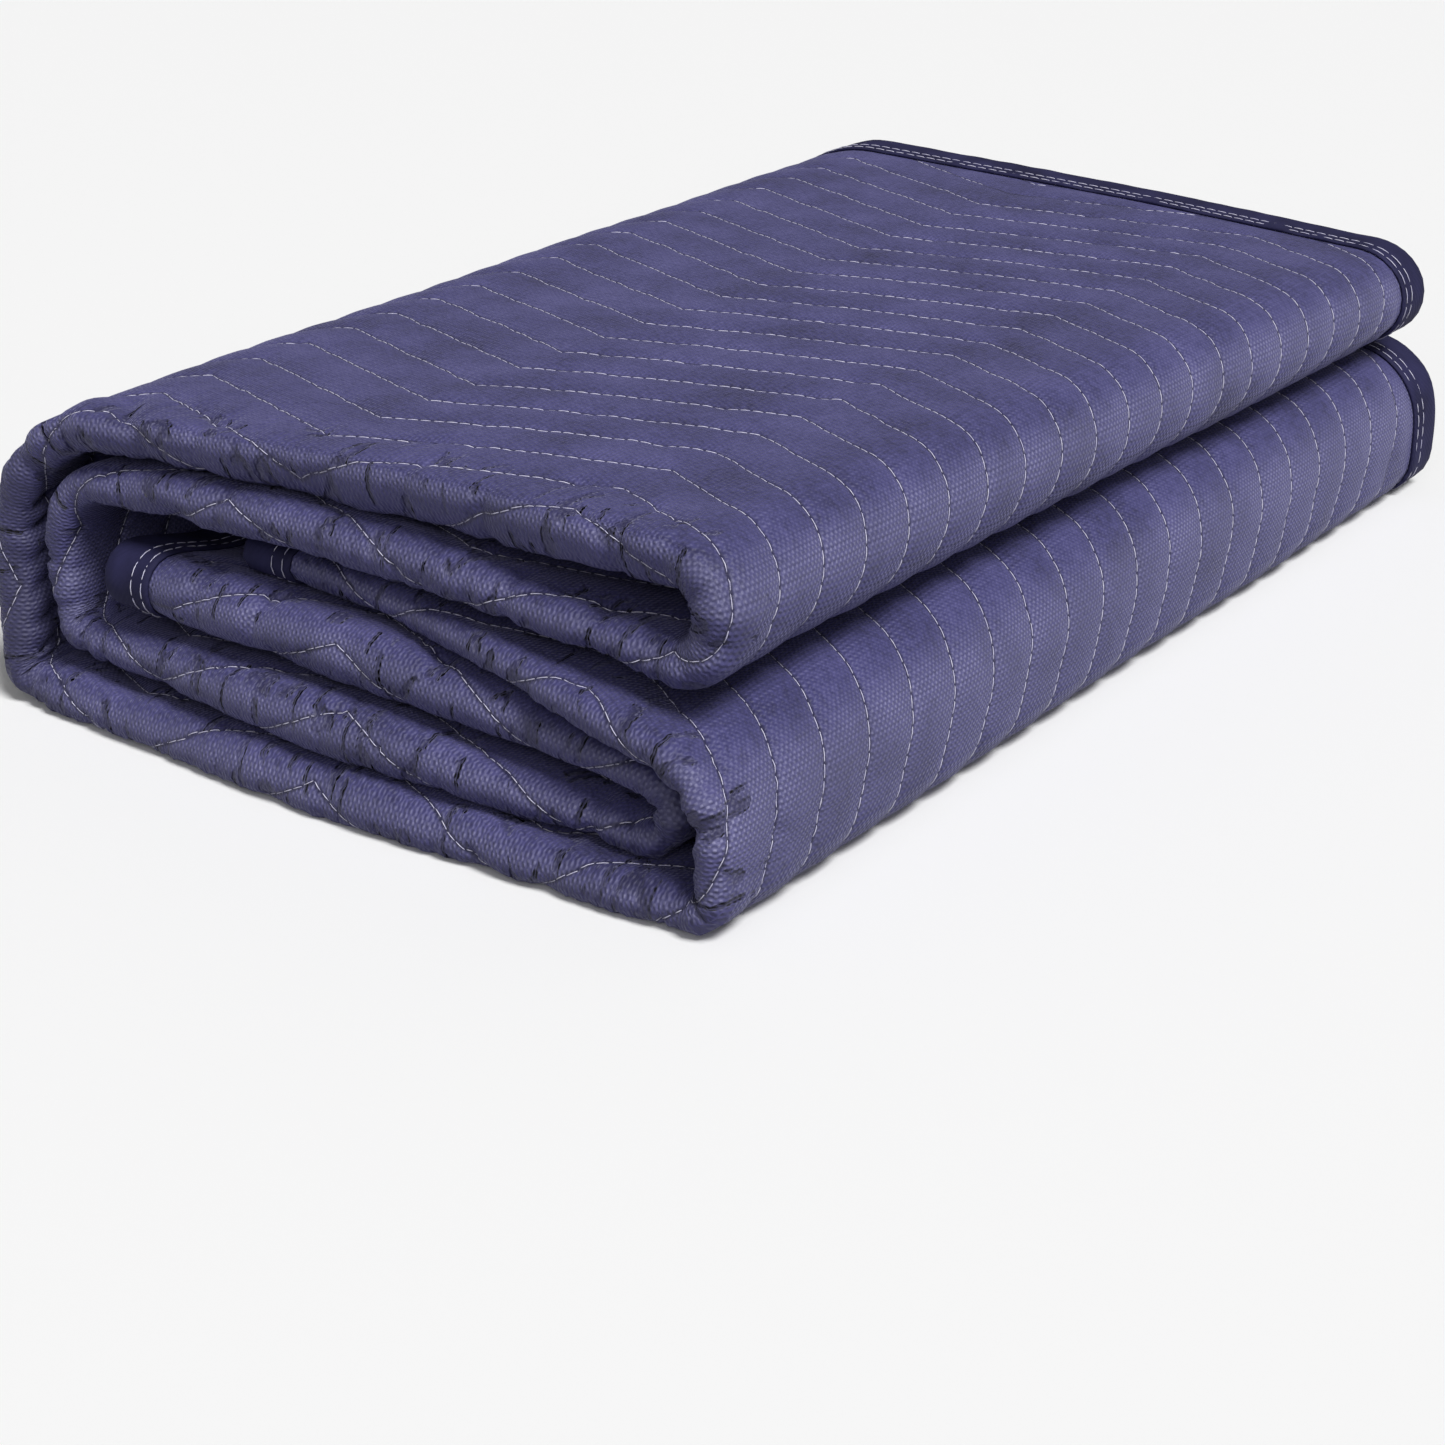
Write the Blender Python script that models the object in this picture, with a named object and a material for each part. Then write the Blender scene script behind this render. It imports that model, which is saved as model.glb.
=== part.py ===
"""A quilted moving blanket, doubled front to back and folded up in six layers.

The cloth is one sheet. It is first folded in half along its length, with the crease at the
front (-Y) and the bound long edges at the back (+Y). The doubled sheet is then folded
across: its own crease is the top right bulge, the two layers go left, turn down round the
left side, come back right under themselves, turn up at the right and end inside the stack.
Layers are named layer_1 (bottom) to layer_6 (top). Metres, +Z up, origin under the middle.
"""
import bisect
import math
from collections import namedtuple

import bmesh
import bpy
from mathutils import Matrix, Vector

MM = 0.001

# Cloth
PLY_FULL = 5.6 * MM
PLY_SEAM = 3.2 * MM
PLY_HEM = 3.0 * MM
PLY_HALF_GAP = 3.6 * MM
CLEARANCE = 0.43 * MM

# Chevron quilting
LINE_PITCH = 24.2 * MM
CHEVRON_RISE = 38 * MM
FIRST_LINE = 38.4 * MM
SEAM_COLUMNS = 35
QUILT_ROUNDNESS = 0.6

# Where along the path, in millimetres, the chevrons turn: every second one, the first too,
# points to the bound long edges, and those between point to the front crease
CHEVRON_KINKS = (
    -827, -738, -650, -561, -472, -383, -295, -206, -114, -25,
    63, 173, 258, 351, 443, 536, 620, 686, 780, 870, 960,
)

# Bindings
TAPE_WIDTH = 20 * MM
TAPE_WALL = 0.87 * MM
HEM_DEPTH = TAPE_WIDTH + 1.5 * MM
HEM_START = TAPE_WIDTH + 10 * MM
LOWER_PLY_PEEP = 7 * MM

# A layer's row, in millimetres: heights of its middle at the left, middle and right, at the front
# and at the back end, where its front crease and back edge lie, and its front crease's radius.
Layer = namedtuple("Layer", "z_front z_back front_y back_y crease")
LAYERS = {
    "layer_1": Layer((6.4, 6.4, 6.4), (6.4, 6.4, 6.4), -266, 254, 6.0),
    "layer_2": Layer((28, 28.6, 21), (24, 24, 21), -261, 246, 8.0),
    "layer_3": Layer((56, 52, 42), (43, 43, 42), -254, 245, 8.8),
    "layer_4": Layer((70, 70.5, 58), (61, 61, 58), -239, 250, 3.9),
    "layer_5": Layer((85.5, 88.5, 79), (79, 79, 74), -247, 247, 6.6),
    "layer_6": Layer((107, 112.5, 113), (109, 105.5, 102), -244, 251, 7.5),
}

# A turn's row, in millimetres: the two layers that it joins, how far its middle reaches in X at
# the front and the back end, its corner radii at the lower and the upper layer, its front and
# back in Y, and its front crease's radius.
Turn = namedtuple("Turn", "lower upper reach_front reach_back r_low r_high front_y back_y crease")
TURNS = {
    "top_right": Turn("layer_5", "layer_6", 148, 150, 17, 17, -247, 242, 6.8),
    "outer_left": Turn("layer_1", "layer_6", -151, -165, 11, 50, -257, 250, 5.0),
    "lower_right": Turn("layer_1", "layer_4", 157, 154, 9, 26, -261, 258, 3.9),
    "inner_left": Turn("layer_2", "layer_5", -130, -141, 11, 26, -252, 246, 4.6),
    "inner_right": Turn("layer_2", "layer_3", 134, 135, 10.5, 10.5, -250, 248, 3.8),
}
# Where the front roll thins between the named layers, under the hollow of the top right turn:
# the place along the path, the front and back in Y, and the front crease's radius, in millimetres.
Dip = namedtuple("Dip", "u front_y back_y crease")
FRONT_DIPS = (Dip(-42, -246, 247, 4.2),)

INNER_END_X = -100 * MM
OUTER_END_X = -48 * MM
HEIGHT_SPAN = 120 * MM
LAYER_STOP_X = -160 * MM
UPPER_PLY_LENGTH = 503 * MM

# Front crease: how far behind it the plies close up, and how gradually, round the top right
# crease, the roll's centre is drawn in so that its outer face stays flush with the layer's
CREASE_SETTLES = 34 * MM
FLUSH_FADE = 100 * MM

# Stretches of the path, either side of a turn's middle, where the upper ply's quilting is raised
RAISED_BEFORE_TOP = 60 * MM
RAISED_AFTER_LEFT = 62 * MM
RAISED_BEFORE_LOWER = 45 * MM
RAISED_AFTER_LOWER = 100 * MM

# What lies lower than this is pressed flat by the ground
PRESSED_LEVEL = 0.3 * MM

# How finely the path is traced and the sheet divided
ARC_STEPS = 12
TRACE_STEP = 4 * MM
PATH_STEP = 1.5 * MM
RELAX_PASSES = 6
DIRECTION_REACH = 2 * MM
CROSS_REACH = 130
STATION_LENGTH = 70 * MM
STATION_ANGLE = math.radians(27)
STATION_NEAR = 6 * MM
COARSE_KEEP = 6
LOWER_PLY_COLUMNS = (26, 40, 90, 200, 340)


def smooth(t):
    """Ease t from 0 to 1."""
    t = min(1.0, max(0.0, t))
    return t * t * (3.0 - 2.0 * t)


def blend(a, b, t):
    """Mix a and b: a at 0, b at 1."""
    return a + (b - a) * t


class Section:
    """The fold path in one upright plane: X and Z of the doubled sheet's middle."""

    def __init__(self, end):
        self.end = end
        self.points = []
        self.marks = {}
        self.trace()
        self.relax(RELAX_PASSES)
        self.measure()

    def heights(self, layer):
        row = LAYERS[layer]
        return row.z_front if self.end == "front" else row.z_back

    def reach(self, turn):
        row = TURNS[turn]
        return (row.reach_front if self.end == "front" else row.reach_back) * MM

    def height(self, layer, x):
        """Height of a layer at x: a parabola through its left, middle and right heights."""
        left, middle, right = (h * MM for h in self.heights(layer))
        q = x / HEIGHT_SPAN
        return middle + (right - left) / 2 * q + ((right + left) / 2 - middle) * q * q

    def turn_points(self, name):
        """Points of a turn from its lower to its upper layer."""
        row = TURNS[name]
        reach = self.reach(name)
        side = 1.0 if reach > 0 else -1.0
        r_low, r_high = row.r_low * MM, row.r_high * MM
        z_low = self.height(row.lower, reach - side * r_low)
        z_high = self.height(row.upper, reach - side * r_high)
        fit = (z_high - z_low) / (r_low + r_high)
        rz_low = r_low * min(1.0, fit)
        rz_high = r_high * min(1.0, fit)
        points = []
        quarter = [math.pi / 2 * i / ARC_STEPS for i in range(ARC_STEPS + 1)]
        for a in quarter:
            points.append((reach - side * r_low * (1 - math.sin(a)), z_low + rz_low * (1 - math.cos(a))))
        for a in quarter:
            points.append((reach - side * r_high * (1 - math.cos(a)), z_high - rz_high * (1 - math.sin(a))))
        return points

    def layer_points(self, layer, x_from, x_to):
        count = max(2, int(abs(x_to - x_from) / TRACE_STEP))
        xs = [blend(x_from, x_to, i / count) for i in range(count + 1)]
        return [(x, self.height(layer, x)) for x in xs]

    def trace(self):
        """Lay the path down from the inner bound end to the outer one."""
        inner_right = self.turn_points("inner_right")
        inner_left = self.turn_points("inner_left")
        top = self.turn_points("top_right")
        outer_left = self.turn_points("outer_left")
        lower_right = self.turn_points("lower_right")
        pieces = [
            ("layer_3", self.layer_points("layer_3", LAYER_STOP_X, inner_right[-1][0])),
            ("inner_right", inner_right[::-1]),
            ("layer_2", self.layer_points("layer_2", inner_right[0][0], inner_left[0][0])),
            ("inner_left", inner_left),
            ("layer_5", self.layer_points("layer_5", inner_left[-1][0], top[0][0])),
            ("top_right", top),
            ("layer_6", self.layer_points("layer_6", top[-1][0], outer_left[-1][0])),
            ("outer_left", outer_left[::-1]),
            ("layer_1", self.layer_points("layer_1", outer_left[0][0], lower_right[0][0])),
            ("lower_right", lower_right),
            ("layer_4", self.layer_points("layer_4", lower_right[-1][0], LAYER_STOP_X)),
        ]
        dense = []
        spans = []
        for name, points in pieces:
            start = len(dense)
            dense.extend(points if not dense else points[1:])
            spans.append((name, start, len(dense) - 1))
        self.points, self.spans = self.resample(dense, spans)

    @staticmethod
    def resample(dense, spans):
        """Spread points evenly along the path and keep each span's middle as a mark."""
        lengths = [0.0]
        for a, b in zip(dense, dense[1:]):
            lengths.append(lengths[-1] + math.dist(a, b))
        total = lengths[-1]
        count = int(total / PATH_STEP)
        points = []
        j = 0
        for i in range(count + 1):
            s = total * i / count
            while j < len(lengths) - 2 and lengths[j + 1] < s:
                j += 1
            step = max(lengths[j + 1] - lengths[j], 1e-9)
            t = (s - lengths[j]) / step
            points.append((blend(dense[j][0], dense[j + 1][0], t), blend(dense[j][1], dense[j + 1][1], t)))
        marks = {}
        for name, start, stop in spans:
            middle = (lengths[start] + lengths[stop]) / 2
            marks[name] = round(middle / total * count)
        return points, marks

    def relax(self, passes):
        """Round off the joins between layers and turns; the flat bottom stays flat."""
        points = self.points
        for _ in range(passes):
            inner = [
                ((a[0] + 2 * b[0] + c[0]) / 4, (a[1] + 2 * b[1] + c[1]) / 4)
                for a, b, c in zip(points, points[1:], points[2:])
            ]
            points = [points[0]] + inner + [points[-1]]
        self.points = points

    def measure(self):
        """Arc length along the path, counted from the top right crease."""
        lengths = [0.0]
        for a, b in zip(self.points, self.points[1:]):
            lengths.append(lengths[-1] + math.dist(a, b))
        zero = lengths[self.spans["top_right"]]
        self.lengths = [s - zero for s in lengths]
        self.marks = {name: self.lengths[i] for name, i in self.spans.items()}

    def locate(self, u):
        """Index and fraction of arc length u."""
        low, high = 0, len(self.lengths) - 2
        while low < high:
            middle = (low + high + 1) // 2
            if self.lengths[middle] <= u:
                low = middle
            else:
                high = middle - 1
        step = self.lengths[low + 1] - self.lengths[low]
        return low, (u - self.lengths[low]) / step

    def at(self, u):
        i, t = self.locate(u)
        a, b = self.points[i], self.points[i + 1]
        return Vector((blend(a[0], b[0], t), blend(a[1], b[1], t)))

    def direction(self, u):
        ahead = self.at(u + DIRECTION_REACH)
        behind = self.at(u - DIRECTION_REACH)
        return (ahead - behind).normalized()

    def cross(self, run, x):
        """Arc length where a layer passes x."""
        middle = self.marks[run]
        places = [middle + i * MM for i in range(-CROSS_REACH, CROSS_REACH)]
        return min(places, key=lambda u: abs(self.at(u)[0] - x))


class Blanket:
    """The sheet's coordinates: u along the fold path, v from the front crease to each edge."""

    def __init__(self):
        self.front = Section("front")
        self.back = Section("back")
        self.inner_end = self.front.cross("layer_3", INNER_END_X)
        self.outer_end = self.front.cross("layer_4", OUTER_END_X)
        self.matches = self.match_sections()
        self.guides = self.list_guides()
        self.upper_length = UPPER_PLY_LENGTH
        self.lower_length = UPPER_PLY_LENGTH + LOWER_PLY_PEEP

    def match_sections(self):
        """Arc lengths at the front and at the back that lie on the same fold line."""
        pairs = [(u, self.back.marks[name]) for name, u in self.front.marks.items()]
        pairs.sort()
        inner_rest = self.inner_end - pairs[0][0]
        outer_rest = self.outer_end - pairs[-1][0]
        pairs.insert(0, (self.inner_end, pairs[0][1] + inner_rest))
        pairs.append((self.outer_end, pairs[-1][1] + outer_rest))
        return pairs

    def at_back(self, u):
        """The back section's arc length on the fold line that passes u at the front."""
        pairs = self.matches
        for (f0, b0), (f1, b1) in zip(pairs, pairs[1:]):
            if u <= f1:
                break
        return blend(b0, b1, (u - f0) / (f1 - f0))

    def list_guides(self):
        """Front edge, back edge and crease radius at the middle of each layer and turn."""
        guides = [(row.u * MM, row.front_y * MM, row.back_y * MM, row.crease * MM) for row in FRONT_DIPS]
        for name, u in self.front.marks.items():
            row = LAYERS.get(name) or TURNS[name]
            if name == "layer_3":
                guides.append((self.inner_end, row.front_y * MM, row.back_y * MM, row.crease * MM))
            guides.append((u, row.front_y * MM, row.back_y * MM, row.crease * MM))
            if name == "layer_4":
                guides.append((self.outer_end, row.front_y * MM, row.back_y * MM, row.crease * MM))
        return sorted(guides)

    def guide(self, u):
        """Front edge, back edge and crease radius at u."""
        rows = self.guides
        if u <= rows[0][0]:
            return rows[0][1:]
        for a, b in zip(rows, rows[1:]):
            if u <= b[0]:
                t = smooth((u - a[0]) / max(b[0] - a[0], 1e-9))
                return tuple(blend(p, q, t) for p, q in zip(a[1:], b[1:]))
        return rows[-1][1:]

    def chevron(self, u):
        """How far a quilting line lies from its middle at u; it runs straight into a short hem."""
        u = min(max(u, self.inner_end + HEM_START), self.outer_end - HEM_START)
        i = bisect.bisect_right(CHEVRON_KINKS, u / MM) - 1
        t = (u / MM - CHEVRON_KINKS[i]) / (CHEVRON_KINKS[i + 1] - CHEVRON_KINKS[i])
        side = 0.5 if i % 2 == 0 else -0.5
        return CHEVRON_RISE * blend(side, -side, t)

    def quilt(self, u, v):
        """Share of the full thickness between the seams, 0 on a seam and 1 between two."""
        phase = (v - FIRST_LINE - self.chevron(u)) / LINE_PITCH
        return abs(math.sin(math.pi * phase)) ** QUILT_ROUNDNESS

    def sheet_point(self, u, v, ply_offset=0.0):
        """Place cloth point (u, v), moved ply_offset along the cloth's own outward normal."""
        front_y, back_y, crease = self.guide(u)
        front_y += PLY_FULL / 2
        side = 1.0 if v >= 0 else -1.0
        run = abs(v)
        quarter = math.pi / 2 * crease
        length = self.upper_length if side > 0 else self.lower_length
        stretch = (back_y - front_y - crease) / (self.upper_length - quarter)
        if run < quarter:
            a = run / crease
            y = front_y + crease * (1 - math.cos(a))
            w = crease * math.sin(a)
            dy, dw = math.sin(a), math.cos(a)
        else:
            y = front_y + crease + (run - quarter) * stretch
            t = (run - quarter) / CREASE_SETTLES
            w = PLY_HALF_GAP + (crease - PLY_HALF_GAP) * (1 - smooth(t))
            dy, dw = 1.0, 0.0
        w = side * w
        t = min(1.0, max(0.0, (y - front_y) / (back_y - front_y)))
        u_back = self.at_back(u)
        centre = self.front.at(u).lerp(self.back.at(u_back), t)
        along = self.front.direction(u).lerp(self.back.direction(u_back), t).normalized()
        normal = Vector((along[1], -along[0]))
        swell = max(0.0, abs(w) - PLY_HALF_GAP)
        centre -= normal * swell * smooth((u + FLUSH_FADE) / (2 * FLUSH_FADE))
        flat = centre + normal * (w + side * dy * ply_offset)
        return Vector((flat[0], y - dw * ply_offset, flat[1]))


def stations(blanket):
    """Stations along u: closer where the path bends, and one at each kink of the chevrons."""
    front = blanket.front
    count = int((blanket.outer_end - blanket.inner_end) / PATH_STEP)
    us = [blend(blanket.inner_end, blanket.outer_end, i / count) for i in range(count + 1)]
    cost = 0.0
    picked = [us[0]]
    for a, b in zip(us, us[1:]):
        bend = front.direction(a).angle(front.direction(b))
        cost += (b - a) / STATION_LENGTH + bend / STATION_ANGLE
        if cost >= 1.0:
            picked.append(b)
            cost = 0.0
    start, stop = blanket.inner_end + HEM_START, blanket.outer_end - HEM_START
    kinks = [k * MM for k in CHEVRON_KINKS if start < k * MM < stop]
    fixed = kinks + [
        blanket.inner_end, blanket.inner_end + HEM_DEPTH, start,
        blanket.outer_end, blanket.outer_end - HEM_DEPTH, stop,
    ]
    kept = [u for u in picked if all(abs(u - f) > STATION_NEAR for f in fixed)]
    return sorted(kept + fixed)


def columns(blanket):
    """Columns across the sheet: (kind, value), from the lower ply's edge to the upper one's."""
    lower = [("edge", -blanket.lower_length), ("edge", -blanket.lower_length + HEM_DEPTH)]
    lower.append(("edge", -blanket.lower_length + HEM_START))
    lower += [("edge", -d * MM) for d in reversed(LOWER_PLY_COLUMNS)]
    crease = [("crease", i / 3) for i in range(-3, 4)]
    seams = [("seam", i / 2) for i in range(SEAM_COLUMNS)]
    upper = [("edge", blanket.upper_length - HEM_START), ("edge", blanket.upper_length - HEM_DEPTH)]
    upper.append(("edge", blanket.upper_length))
    return lower + crease + seams + upper


def column_v(blanket, column, u):
    kind, value = column
    if kind == "crease":
        return value * math.pi / 2 * blanket.guide(u)[2]
    if kind == "seam":
        return FIRST_LINE + value * LINE_PITCH + blanket.chevron(u)
    return value


def is_kept(column):
    """Whether a column also divides the cloth that lies hidden in the stack."""
    kind, value = column
    return kind != "seam" or round(2 * value) % COARSE_KEEP == 0


def thickness(blanket, u, v, raised):
    """Thickness of the ply: full between seams, thin at a seam and at the hem."""
    length = blanket.upper_length if v > 0 else blanket.lower_length
    from_edge = min(length - abs(v), u - blanket.inner_end, blanket.outer_end - u)
    if from_edge < HEM_DEPTH + 1e-6:
        return PLY_HEM
    if not raised:
        return PLY_FULL
    return blend(PLY_SEAM, PLY_FULL, blanket.quilt(u, v))


def raised_ranges(blanket):
    """Stretches of u where the upper ply's face shows, with its quilting raised."""
    marks = blanket.front.marks
    return [
        (marks["top_right"] - RAISED_BEFORE_TOP, marks["outer_left"] + RAISED_AFTER_LEFT),
        (marks["lower_right"] - RAISED_BEFORE_LOWER, marks["lower_right"] + RAISED_AFTER_LOWER),
    ]


def new_object(name, bm, material):
    mesh = bpy.data.meshes.new(name)
    bm.to_mesh(mesh)
    bm.free()
    obj = bpy.data.objects.new(name, mesh)
    bpy.context.scene.collection.objects.link(obj)
    mesh.materials.append(material)
    return obj


def make_material(name, colour, roughness):
    material = bpy.data.materials.new(name)
    material.use_nodes = True
    shader = material.node_tree.nodes["Principled BSDF"]
    shader.inputs["Base Color"].default_value = (*colour, 1.0)
    shader.inputs["Roughness"].default_value = roughness
    shader.inputs["Metallic"].default_value = 0.0
    return material


def build_body(blanket, material):
    """One folded sheet: its middle surface is meshed, then given its uneven thickness."""
    rows = stations(blanket)
    cols = columns(blanket)
    ranges = raised_ranges(blanket)
    shows = [any(a <= u <= b for a, b in ranges) for u in rows]
    bm = bmesh.new()
    layer = bm.verts.layers.float.new("thick")
    grid = []
    for u, raised in zip(rows, shows):
        line = []
        for column in cols:
            v = column_v(blanket, column, u)
            quilted = column[0] == "crease" or (raised and column[0] == "seam")
            vert = bm.verts.new(blanket.sheet_point(u, v))
            vert[layer] = thickness(blanket, u, v, quilted)
            line.append(vert)
        grid.append(line)
    for i in range(len(rows) - 1):
        for j in range(len(cols) - 1):
            bm.faces.new((grid[i][j], grid[i][j + 1], grid[i + 1][j + 1], grid[i + 1][j]))
    spare = []
    for i in range(len(rows) - 1):
        if shows[i] and shows[i + 1]:
            continue
        for j, column in enumerate(cols):
            if not is_kept(column):
                spare.append(bm.edges.get((grid[i][j], grid[i + 1][j])))
    bmesh.ops.dissolve_edges(bm, edges=spare, use_verts=True)
    bm.verts.index_update()
    weights = [vert[layer] / PLY_FULL for vert in bm.verts]
    bmesh.ops.recalc_face_normals(bm, faces=bm.faces)
    body = new_object("quilted_body", bm, material)
    group = body.vertex_groups.new(name="thickness")
    for index, weight in enumerate(weights):
        group.add([index], weight, "REPLACE")
    solid = body.modifiers.new("loft", "SOLIDIFY")
    solid.thickness = PLY_FULL
    solid.offset = 0.0
    solid.vertex_group = group.name
    solid.use_even_offset = False
    body.data.shade_smooth()
    graph = bpy.context.evaluated_depsgraph_get()
    body.data = bpy.data.meshes.new_from_object(body.evaluated_get(graph))
    body.modifiers.clear()
    return body


def sweep_tape(name, places, material):
    """A folded tape: a channel profile carried along places of (edge, inward, normal)."""
    half = PLY_HEM / 2 + CLEARANCE
    outer = half + TAPE_WALL
    profile = (
        (TAPE_WIDTH, outer), (-CLEARANCE - TAPE_WALL, outer), (-CLEARANCE - TAPE_WALL, -outer),
        (TAPE_WIDTH, -outer), (TAPE_WIDTH, -half), (-CLEARANCE, -half), (-CLEARANCE, half),
        (TAPE_WIDTH, half),
    )
    bm = bmesh.new()
    rings = [[bm.verts.new(place(inward, across)) for inward, across in profile] for place in places]
    count = len(profile)
    for a, b in zip(rings, rings[1:]):
        for i in range(count):
            j = (i + 1) % count
            bm.faces.new((a[i], a[j], b[j], b[i]))
    for ring in (rings[0], rings[-1]):
        for i in range(3):
            bm.faces.new((ring[i], ring[i + 1], ring[6 - i], ring[7 - i]))
    bmesh.ops.recalc_face_normals(bm, faces=bm.faces)
    return new_object(name, bm, material)


def build_long_binding(name, blanket, side, material):
    """Tape on a ply's long edge, over every fold of the sheet."""
    length = blanket.upper_length if side > 0 else blanket.lower_length

    def at(u):
        return lambda inward, across: blanket.sheet_point(u, side * (length - inward), across)

    return sweep_tape(name, [at(u) for u in stations(blanket)], material)


def build_end_binding(name, blanket, end, inward_sign, material):
    """Tape on a short edge, round the front crease, clear of the long tapes."""
    lower_stop = -blanket.lower_length + TAPE_WIDTH + 2 * CLEARANCE
    upper_stop = blanket.upper_length - TAPE_WIDTH - 2 * CLEARANCE
    vs = [column_v(blanket, column, end) for column in columns(blanket) if is_kept(column)]
    vs = [lower_stop] + [v for v in vs if lower_stop < v < upper_stop] + [upper_stop]

    def at(v):
        return lambda inward, across: blanket.sheet_point(end + inward_sign * inward, v, across)

    return sweep_tape(name, [at(v) for v in vs], material)


def centre(objects):
    """Centre the blanket's box on the origin, on the ground, with its underside pressed level."""
    bpy.context.view_layer.update()
    corners = [Vector(c) for obj in objects for c in obj.bound_box]
    low = Vector([min(c[i] for c in corners) for i in range(3)])
    high = Vector([max(c[i] for c in corners) for i in range(3)])
    shift = Vector((-(low[0] + high[0]) / 2, -(low[1] + high[1]) / 2, -low[2]))
    for obj in objects:
        obj.data.transform(Matrix.Translation(shift))
        for vert in obj.data.vertices:
            if vert.co.z < PRESSED_LEVEL:
                vert.co.z = 0.0


def main():
    for obj in list(bpy.data.objects):
        bpy.data.objects.remove(obj, do_unlink=True)
    cloth = make_material("quilted_cloth", (0.098, 0.093, 0.262), 0.8)
    tape = make_material("binding_tape", (0.05, 0.048, 0.14), 0.75)
    blanket = Blanket()
    objects = [
        build_body(blanket, cloth),
        build_long_binding("binding_upper_long", blanket, 1.0, tape),
        build_long_binding("binding_lower_long", blanket, -1.0, tape),
        build_end_binding("binding_inner_end", blanket, blanket.inner_end, 1.0, tape),
        build_end_binding("binding_outer_end", blanket, blanket.outer_end, -1.0, tape),
    ]
    centre(objects)


main()
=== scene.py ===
"""Looks of a folded, chevron-quilted moving blanket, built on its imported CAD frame.

The blanket is one quilted sheet. Its sheet coordinates are u, the arc length along the fold
path from the top right crease, and v, the distance from the front crease, positive on the
upper and outer ply and negative on the lower and inner one. Metres, +Z up.
"""
from __future__ import annotations

import bisect
import logging
import math
from dataclasses import dataclass, field
from enum import Enum
from typing import Callable, NamedTuple, Sequence

import bpy
from mathutils import Matrix, Vector, noise

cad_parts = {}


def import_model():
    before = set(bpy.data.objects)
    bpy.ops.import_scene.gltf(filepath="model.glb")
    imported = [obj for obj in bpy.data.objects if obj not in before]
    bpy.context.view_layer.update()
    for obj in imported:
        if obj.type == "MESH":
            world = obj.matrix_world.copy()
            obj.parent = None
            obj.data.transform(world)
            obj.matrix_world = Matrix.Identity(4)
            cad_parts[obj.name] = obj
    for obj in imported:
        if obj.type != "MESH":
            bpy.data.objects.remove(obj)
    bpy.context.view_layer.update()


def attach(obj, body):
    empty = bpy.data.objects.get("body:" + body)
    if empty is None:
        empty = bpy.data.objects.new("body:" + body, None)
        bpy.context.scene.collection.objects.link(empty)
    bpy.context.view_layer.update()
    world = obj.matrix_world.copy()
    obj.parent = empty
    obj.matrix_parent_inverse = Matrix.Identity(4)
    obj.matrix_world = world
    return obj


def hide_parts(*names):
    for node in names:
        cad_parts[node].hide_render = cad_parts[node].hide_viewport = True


LOG = logging.getLogger("moving_blanket")
MM = 0.001
TINY = 1e-9
STITCH_INSET = 5 * MM
EASED = {"interpolation_type": "SMOOTHSTEP"}

Point = tuple[float, float]


class LayerRow(NamedTuple):
    """A layer of the stack, in millimetres.

    Heights at the left, middle and right for the front and the back end, the place of its
    front crease and back edge in Y, and the radius of its front crease.
    """

    z_front: tuple[float, float, float]
    z_back: tuple[float, float, float]
    front_y: float
    back_y: float
    crease: float


class TurnRow(NamedTuple):
    """A turn between two layers, in millimetres.

    How far it reaches in X at the front and the back end, its corner radii at its lower and
    upper layer, its front crease and back edge in Y, and the radius of its front crease.
    """

    lower: str
    upper: str
    reach_front: float
    reach_back: float
    r_low: float
    r_high: float
    front_y: float
    back_y: float
    crease: float


LAYERS = {
    "layer_1": LayerRow((6.4, 6.4, 6.4), (6.4, 6.4, 6.4), -266, 254, 6.0),
    "layer_2": LayerRow((28, 28.6, 21), (24, 24, 21), -261, 246, 8.0),
    "layer_3": LayerRow((56, 52, 42), (43, 43, 42), -254, 245, 8.8),
    "layer_4": LayerRow((70, 70.5, 58), (61, 61, 58), -239, 250, 3.9),
    "layer_5": LayerRow((85.5, 88.5, 79), (79, 79, 74), -247, 247, 6.6),
    "layer_6": LayerRow((107, 112.5, 113), (109, 105.5, 102), -244, 251, 7.5),
}
TURNS = {
    "top_right": TurnRow("layer_5", "layer_6", 148, 150, 17, 17, -247, 242, 6.8),
    "outer_left": TurnRow("layer_1", "layer_6", -151, -165, 11, 50, -257, 250, 5.0),
    "lower_right": TurnRow("layer_1", "layer_4", 157, 154, 9, 26, -261, 258, 3.9),
    "inner_left": TurnRow("layer_2", "layer_5", -130, -141, 11, 26, -252, 246, 4.6),
    "inner_right": TurnRow("layer_2", "layer_3", 134, 135, 10.5, 10.5, -250, 248, 3.8),
}

# Where along the path, in millimetres, the chevrons turn: every second one, the first too,
# points to the bound long edges, and those between point to the front crease
CHEVRON_KINKS = (
    -827, -738, -650, -561, -472, -383, -295, -206, -114, -25,
    63, 173, 258, 351, 443, 536, 620, 686, 780, 870, 960,
)


class Guide(NamedTuple):
    """Front crease, back edge and front crease radius at a place u on the path, in millimetres."""

    u: float
    front_y: float
    back_y: float
    crease: float


# Where the front roll thins between the named layers, under the hollow of the top right turn
FRONT_DIPS = (Guide(-42, -246, 247, 4.2),)


class SheetCrease(NamedTuple):
    """A crease laid on the sheet, from (u0, v0) to (u1, v1), in millimetres.

    Width is how far its side slopes reach, and height is negative for a trough.
    """

    u0: float
    v0: float
    u1: float
    v1: float
    width: float
    height: float


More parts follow.
